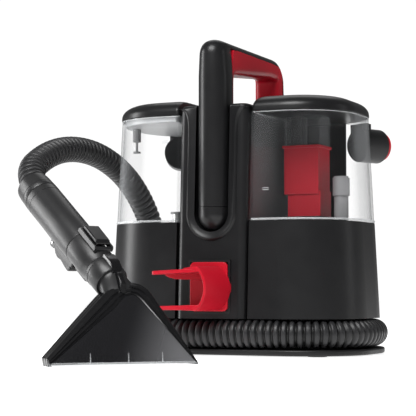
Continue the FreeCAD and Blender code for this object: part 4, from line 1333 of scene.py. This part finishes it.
@dataclass
class Wand:
    """The hand wand: cuff, grip, rail, spray trigger and nozzle latch."""

    top: Place = (-0.163, -0.1999, 0.1799)
    way: Place = (0.733, -0.382, -0.562)

    def __post_init__(self) -> None:
        """Work out the wand's local frame."""
        self.frame = axis_frame(Vector(self.top), Vector(self.way))

    def local(self, u: float, v: float, w: float) -> Vector:
        """Place a point of the wand.

        Args:
            u: How far it is across the wand, in millimetres.
            v: How far it is up from the axis.
            w: How far it is along the axis.

        Returns:
            The point, in metres.
        """
        return self.frame @ Vector((u * MM, v * MM, w * MM))

    def turned_piece(self, name: str, profile: Outline, body: str, *nodes: str) -> bpy.types.Object:
        """Make a turned piece on the wand's axis.

        Args:
            name: The piece's name.
            profile: Its (radius, height) corners, in millimetres.
            body: The body that carries it.
            nodes: The CAD nodes that it replaces.

        Returns:
            The piece.
        """
        skin = turned([(r * MM, h * MM) for r, h in profile], self.frame, 64)
        return ride(to_object(name, skin, WAND_BLACK, 38), body, "black_gloss", *nodes)

    def slab(self, outline: Outline, low: float, high: float) -> Skin:
        """Extrude a side outline across the wand.

        Args:
            outline: Its (along, up) corners, in millimetres.
            low: Its first face, across the wand.
            high: Its second face.

        Returns:
            The points and the faces.
        """
        return prism(outline, low, high, lambda w, v, u: self.local(u, v, w))

    def cheeks(self, name: str, outline: Outline, near: float, far: float, width: float) -> None:
        """Make a cheek on each side of the wand.

        Args:
            name: The start of the pieces' names.
            outline: Their side outline, in millimetres.
            near: Their inner face's distance from the middle.
            far: Their outer face's distance.
            width: The width of their rounded edges, in metres.
        """
        for side, sign in (("left", -1), ("right", 1)):
            moulding(f"{name}_{side}", self.slab(outline, sign * near, sign * far), WAND_BLACK, width,
                     "machine", "black_gloss")

    def build(self) -> None:
        """Build every piece of the wand."""
        self.turned_piece("wand_cuff", [(16.7, -26), (18.6, -26), (19.6, -25.2), (20.3, -18), (20.5, -8.5),
                                        (20.1, -8.2), (20.1, -7.6), (20.7, -7.3), (20.9, -0.6), (20.5, 0),
                                        (18.56, 0), (18.56, -5), (16.7, -5)], "cuff", "hose_cuff")
        self.turned_piece("wand_grip", [(16.6, 0.5), (20.4, 0.5), (20.9, 1.1), (20.9, 9.2), (20.5, 9.5),
                                        (20.5, 10.1), (20.9, 10.4), (20.7, 60), (20.5, 100), (20.2, 102.2),
                                        (19.6, 102.5), (19.6, 103.3), (20.0, 103.6), (20.0, 136),
                                        (19.4, 137.4), (18.2, 146.6), (16.5, 147), (16.5, 166), (13.6, 166),
                                        (13.6, 20), (16.6, 20)], "machine", "wand_handle")
        rail = [(14, -19.5), (17, -22.6), (24, -24.4), (56, -24.8), (56, -19.5)]
        conduit = [(108, -19), (108, -24.6), (132, -24.6), (136.5, -22.5), (137.0, -19)]
        covers = (("wand_rail", rail, ()), ("wand_conduit_cover", conduit, ("wand_conduit",)))
        for name, outline, nodes in covers:
            skin = self.slab(outline, -4.6, 4.6)
            moulding(name, skin, WAND_BLACK, 0.0014, "machine", "black_gloss", *nodes)
        self.cheeks("trigger_cheek", [(56, -17), (56, -25.2), (59, -26.2), (64.5, -25.6), (68, -23.6),
                                      (108, -23.2), (108, -17)], 7.6, 10.2, 0.0008)
        lever = [(58, -22), (59, -26), (66, -31.5), (72, -33.2), (80, -31.6), (90, -33.4), (98, -34.0),
                 (101.4, -32.0), (102, -28.0), (100, -24.2), (64, -19.5)]
        moulding("spray_trigger_lever", self.slab(lever, -6.3, 6.3), SATIN_BLACK, 0.0016, "trigger",
                 "black_gloss", "spray_trigger")
        self.latch()

    def latch(self) -> None:
        """Build the latch: a low saddle fixed to the wand and the key that slides down into it."""
        self.cheeks("latch_cheek", [(99, 18.5), (99, 23.5), (101.4, 25.0), (137.4, 24.4), (139.2, 22.0),
                                    (139.2, 18.0)], 9.6, 12.0, 0.0009)
        near = [(99, 18.5), (99, 24), (101.6, 24.6), (101.6, 18.5)]
        far = [(135.6, 18), (135.6, 23), (139, 21), (139, 18)]
        for name, outline in (("latch_bridge_near", near), ("latch_bridge_far", far)):
            moulding(name, self.slab(outline, -9.8, 9.8), WAND_BLACK, 0.0006, "machine", "black_gloss")
        key = [(102.2, 23.4), (102.4, 27.6), (104.6, 29.4), (131.4, 28.6), (134.6, 26.0), (134.8, 23.4)]
        moulding("nozzle_latch_key", self.slab(key, -9.0, 9.0), SATIN_BLACK, 0.0018, "latch", "black_gloss",
                 "nozzle_latch")


# ------------------------------------------------------------------------------------ nozzle
@dataclass
class Nozzle:
    """The fan nozzle: ridged side walls, a smoked window, its ribs, a clear lip and bristles.

    The two outlines are matched point by point, in millimetres across the mouth and up.
    """

    centre: Place = (0.0033, -0.3129, 0)
    heading: float = 45.0
    lean: float = 36.7
    rim: Outline = (
        (-81.5, 0), (-81.5, 8), (-47.5, 38.5), (-13.5, 68.6), (-6, 74.5), (4, 79.5), (15, 83), (25, 84),
        (33, 82), (39, 77.5), (42.7, 72.4), (59.6, 37.7), (76.5, 3), (76.5, 0))
    pane: Outline = (
        (-79.5, 1.5), (-79, 2.2), (-38, 31.5), (2, 60), (7, 65), (12, 69), (16.5, 71), (20.5, 71.7),
        (24.5, 70.6), (28, 67.5), (31, 63.5), (52.4, 33), (73.8, 2.2), (74, 1.5))

    def __post_init__(self) -> None:
        """Work out the nozzle's local frame."""
        self.frame = Matrix.Translation(self.centre) @ Matrix.Rotation(math.radians(self.heading), 4, "Z")
        self.slope = math.tan(math.radians(self.lean))

    def place(self, x: float, back: float, z: float) -> Vector:
        """Place a point of the fan.

        Args:
            x: How far it is across the mouth, in millimetres.
            back: How far it is behind the fan's middle surface.
            z: Its height.

        Returns:
            The point, in metres.
        """
        return self.frame @ Vector((x * MM, (back + z * self.slope) * MM, z * MM))

    def inset(self, outline: Outline, amount: float) -> Outline:
        """Move an outline inwards, square to its sides; its two feet stay at their height.

        Args:
            outline: The outline.
            amount: How far it moves, in millimetres.

        Returns:
            The new outline, with as many points.
        """
        moved = []
        last = len(outline) - 1
        for i, (x, z) in enumerate(outline):
            before, after = outline[max(0, i - 1)], outline[min(last, i + 1)]
            along = Vector((after[0] - before[0], after[1] - before[1])).normalized()
            shift = Vector((along.y, -along.x)) * amount
            moved.append((x + shift.x, z if i in (0, last) else z + shift.y))
        return moved

    def strip(self, section: Sequence[tuple[Outline, float]]) -> Skin:
        """Sweep a section along matched outlines and close its two feet.

        Args:
            section: Pairs of an outline and how far behind the middle surface it runs.

        Returns:
            The points and the faces.
        """
        return loft([[self.place(outline[i][0], back, outline[i][1]) for outline, back in section]
                     for i in range(len(self.rim))])

    def shell(self) -> None:
        """Build the ridged wall round the fan, the frame of its window and its back."""
        steps = ((1.2, 12.0), (0.0, 10.8), (0.0, 5.6), (1.8, 4.6), (1.8, 2.6), (0.0, 1.6), (0.0, -3.2),
                 (1.8, -4.2), (1.8, -6.2), (0.2, -7.2), (0.2, -10.8), (1.2, -12.0), (3.6, -12.0), (3.6, 12.0))
        wall = [(self.inset(self.rim, amount), back) for amount, back in steps]
        steps = ((0.0, -11.2), (0.12, -13.0), (0.34, -13.2), (0.38, -12.0), (0.46, -12.0), (0.50, -13.4),
                 (0.72, -13.4), (0.76, -12.2), (0.84, -12.2), (0.90, -13.2), (1.0, -12.8), (1.0, -10.6),
                 (0.0, -10.2))
        sides = list(zip(self.inset(self.rim, 1.6), self.pane))
        surround = [([(a + (c - a) * share, b + (d - b) * share) for (a, b), (c, d) in sides], back)
                    for share, back in steps]
        for name, section, nodes in (("nozzle_ridged_wall", wall, ("nozzle_body",)),
                                     ("nozzle_window_frame", surround, ())):
            piece = soften(to_object(name, self.strip(section), GLOSS_BLACK, 30), 0.0004, 2, 30)
            ride(piece, "nozzle", "black_gloss", *nodes)
        inner = self.inset(self.rim, 1.0)
        rings = [[self.place(x, back, max(z, 0.4)) for x, z in inner] for back in (11.6, 9.6)]
        ride(to_object("nozzle_back", loft(rings), GLOSS_BLACK, 30), "nozzle", "black_gloss")

    def window(self) -> bpy.types.Object:
        """Make the smoked window in the front of the fan, a little crowned.

        Returns:
            The window.
        """
        rings = []
        x0, z0 = 10.0, 26.0
        for share, back in ((1.0, -10.4), (1.0, -11.7), (0.985, -12.1), (0.75, -12.7), (0.5, -13.1),
                            (0.25, -13.4), (0.05, -13.5)):
            rings.append([self.place(x0 + (x - x0) * share, back, z0 + (z - z0) * share)
                          for x, z in self.inset(self.pane, -1.2)])
        return ride(to_object("nozzle_window_pane", loft(rings), SMOKED, 40), "nozzle", "smoked_plastic",
                    "nozzle_window")

    def lip(self) -> bpy.types.Object:
        """Make the clear lip along the mouth's front edge, bowed a little outwards.

        Returns:
            The lip.
        """
        section = ((-13.0, 0.1), (-10.0, 0.1), (-10.2, 3.0), (-12.4, 3.6), (-13.2, 1.4))
        rings = []
        for k in range(0, 17):
            x = -80.5 + 155.5 * k / 16
            bow = 3.0 * math.sin(math.pi * k / 16) ** 0.7
            rings.append([self.place(x, back - bow, z) for back, z in section])
        return ride(to_object("nozzle_lip", loft(rings), CLEAR_RIM), "nozzle", "smoked_plastic")

    def ribs(self) -> bpy.types.Object:
        """Make the short slanted ribs over the window's lower edge.

        Returns:
            The ribs, as one piece.
        """
        outline = [(-0.55 * MM, 0.0), (0.55 * MM, 0.0), (2.1 * MM, 9.5 * MM), (1.3 * MM, 9.5 * MM)]
        rib = prism(outline, -0.0005, 0.0005, lambda u, v, w: Vector((u, w + v * self.slope, v)))
        unit = to_object("window_rib_unit", rib, CLEAR_RIM)
        places = [Vector((x * MM, (-13.0 + 3.0 * self.slope) * MM, 3.0 * MM)) for x in (-38, 2, 38)]
        piece = repeated("window_ribs", unit, places, CLEAR_RIM, matrix=self.frame)
        return ride(piece, "nozzle", "smoked_plastic")

    def collar(self, wand: Wand) -> None:
        """Build the socket over the end of the wand, the neck down to the fan, the catch and the spine.

        Args:
            wand: The wand.
        """
        turn = [2 * math.pi * k / 48 for k in range(48)]
        basis = wand.frame.to_3x3()
        rings = []
        for along, radius in ((147.6, 18.4), (148.2, 19.2), (151.5, 19.4), (151.8, 19.0), (170.5, 18.8),
                              (171.6, 18.0), (171.8, 15.5)):
            middle = wand.local(0, 0, along)
            rings.append([middle + basis @ Vector((math.cos(a), math.sin(a), 0)) * radius * MM for a in turn])
        rings += self.neck(rings[-1], basis @ Vector((0, 0, 0.012)), turn)
        ride(to_object("nozzle_collar", loft(rings), WAND_BLACK, 40), "nozzle", "black_gloss")
        catch = [(148.5, 17.5), (148.5, 21.6), (151, 22.8), (163, 22.4), (170, 19.8), (174, 15.5), (174, 10)]
        spine = [(172, 4), (172, 15), (175, 17.2), (179, 17.4), (181, 15.6), (190, 12.5), (196, 4)]
        for name, outline, half in (("nozzle_catch", catch, 6.5), ("nozzle_neck_spine", spine, 3.2)):
            moulding(name, wand.slab(outline, -half, half), GLOSS_BLACK, 0.0009, "nozzle", "black_gloss")

    def neck(self, start: Ring, ahead: Vector, turn: Sequence[float]) -> list[Ring]:
        """Blend the socket's last ring into a flat ring in the top of the fan.

        Args:
            start: The socket's last ring.
            ahead: The way that the neck leaves the socket, as long as it is stiff.
            turn: The angle of each point of a ring.

        Returns:
            The rings of the neck.
        """
        lean, axes = math.radians(self.lean), self.frame.to_3x3()
        across, facing = axes @ Vector((1, 0, 0)), axes @ Vector((0, -math.cos(lean), math.sin(lean)))
        down = axes @ Vector((0, math.sin(lean), math.cos(lean))) * -0.020
        foot, wide, deep = self.place(15, 0, 66), 22.0 * MM, 10.0 * MM
        goal = [foot + across * math.cos(a) * wide + facing * math.sin(a) * deep for a in turn]
        rings = []
        for k in range(1, 11):
            t = k / 10
            h1, h2, h3 = t * t * (3 - 2 * t), t * (1 - t) ** 2, t * t * (t - 1)
            rings.append([a * (1 - h1) + b * h1 + ahead * h2 + down * h3 for a, b in zip(start, goal)])
        return rings

    def bristles(self) -> bpy.types.Object:
        """Make a row of short tufts behind the mouth.

        Returns:
            The tufts, as one piece.
        """
        outline = arc((0, 0), 0.0012, 0, 360, 6)[:-1]
        tuft = loft([[Vector((u * s, v * s, z)) for u, v in outline] for z, s in ((0, 0.7), (0.009, 1.0))])
        unit = to_object("tuft_unit", tuft, SOFT_BLACK)
        places = [Vector((x * MM, 5.5 * MM, 0.7 * MM)) for x in range(-68, 69, 4)]
        piece = repeated("brush_tufts", unit, places, SOFT_BLACK, swing=0.05, matrix=self.frame)
        return ride(piece, "nozzle", "grey_plastic", "brush_strip")

    def build(self, wand: Wand) -> None:
        """Build every piece of the nozzle.

        Args:
            wand: The wand that it fits on.
        """
        self.shell()
        self.window()
        self.lip()
        self.ribs()
        self.collar(wand)
        self.bristles()


# ------------------------------------------------------------------------------------ carried-over nodes
NODE_FINISHES = {
    SATIN_BLACK: ("clean_side_housing", "dirty_side_housing", "column_housing", "power_button"),
    SOFT_BLACK: ("base_plate", "hose_core", "column_rear_cover", "exhaust_grille", "hook_bezel", "hose_port",
                 "clean_tank_latch", "dirty_tank_latch"),
    DEEP_RED: ("clean_release_button", "dirty_release_button"),
    CAGE_RED: ("float_cage",),
    CLEAR: ("clean_tank", "dirty_tank"),
    DUCT_CLEAR: ("separator_duct",),
    RUBBER: ("rubber_feet", "clean_tank_gasket", "dirty_tank_gasket", "dirty_port_seal", "motor_mounts",
             "cord_inlet"),
    GREY: ("standpipe", "clean_valve_seat", "clean_valve_collar", "clean_tank_valve", "clean_pickup_tube",
           "fan_rotor", "fan_shroud", "water_pump", "air_duct", "spray_tip"),
    PALE: ("float",),
    TUBE_CLEAR: ("pump_tubes",),
    STEEL: ("motor_housing", "clean_valve_spring", "trigger_hinge_pin"),
    BOARD: ("circuit_board",),
}


def dress_nodes() -> None:
    """Give every CAD node that stays its finish."""
    for kind, names in NODE_FINISHES.items():
        for name in names:
            node = frame["nodes"][name]
            for slot in node.material_slots:
                slot.material = finish(kind)


def main() -> None:
    """Build the whole machine."""
    Studio().build()
    SuctionHose().build()
    for group in (TankGroup(Side.CLEAN, "clean"), TankGroup(Side.DIRTY, "dirty")):
        group.build()
    Column().build()
    Handle().build()
    ToolHook().build()
    wand = Wand()
    wand.build()
    Nozzle().build(wand)
    dress_nodes()


if __name__ == "__main__":
    main()
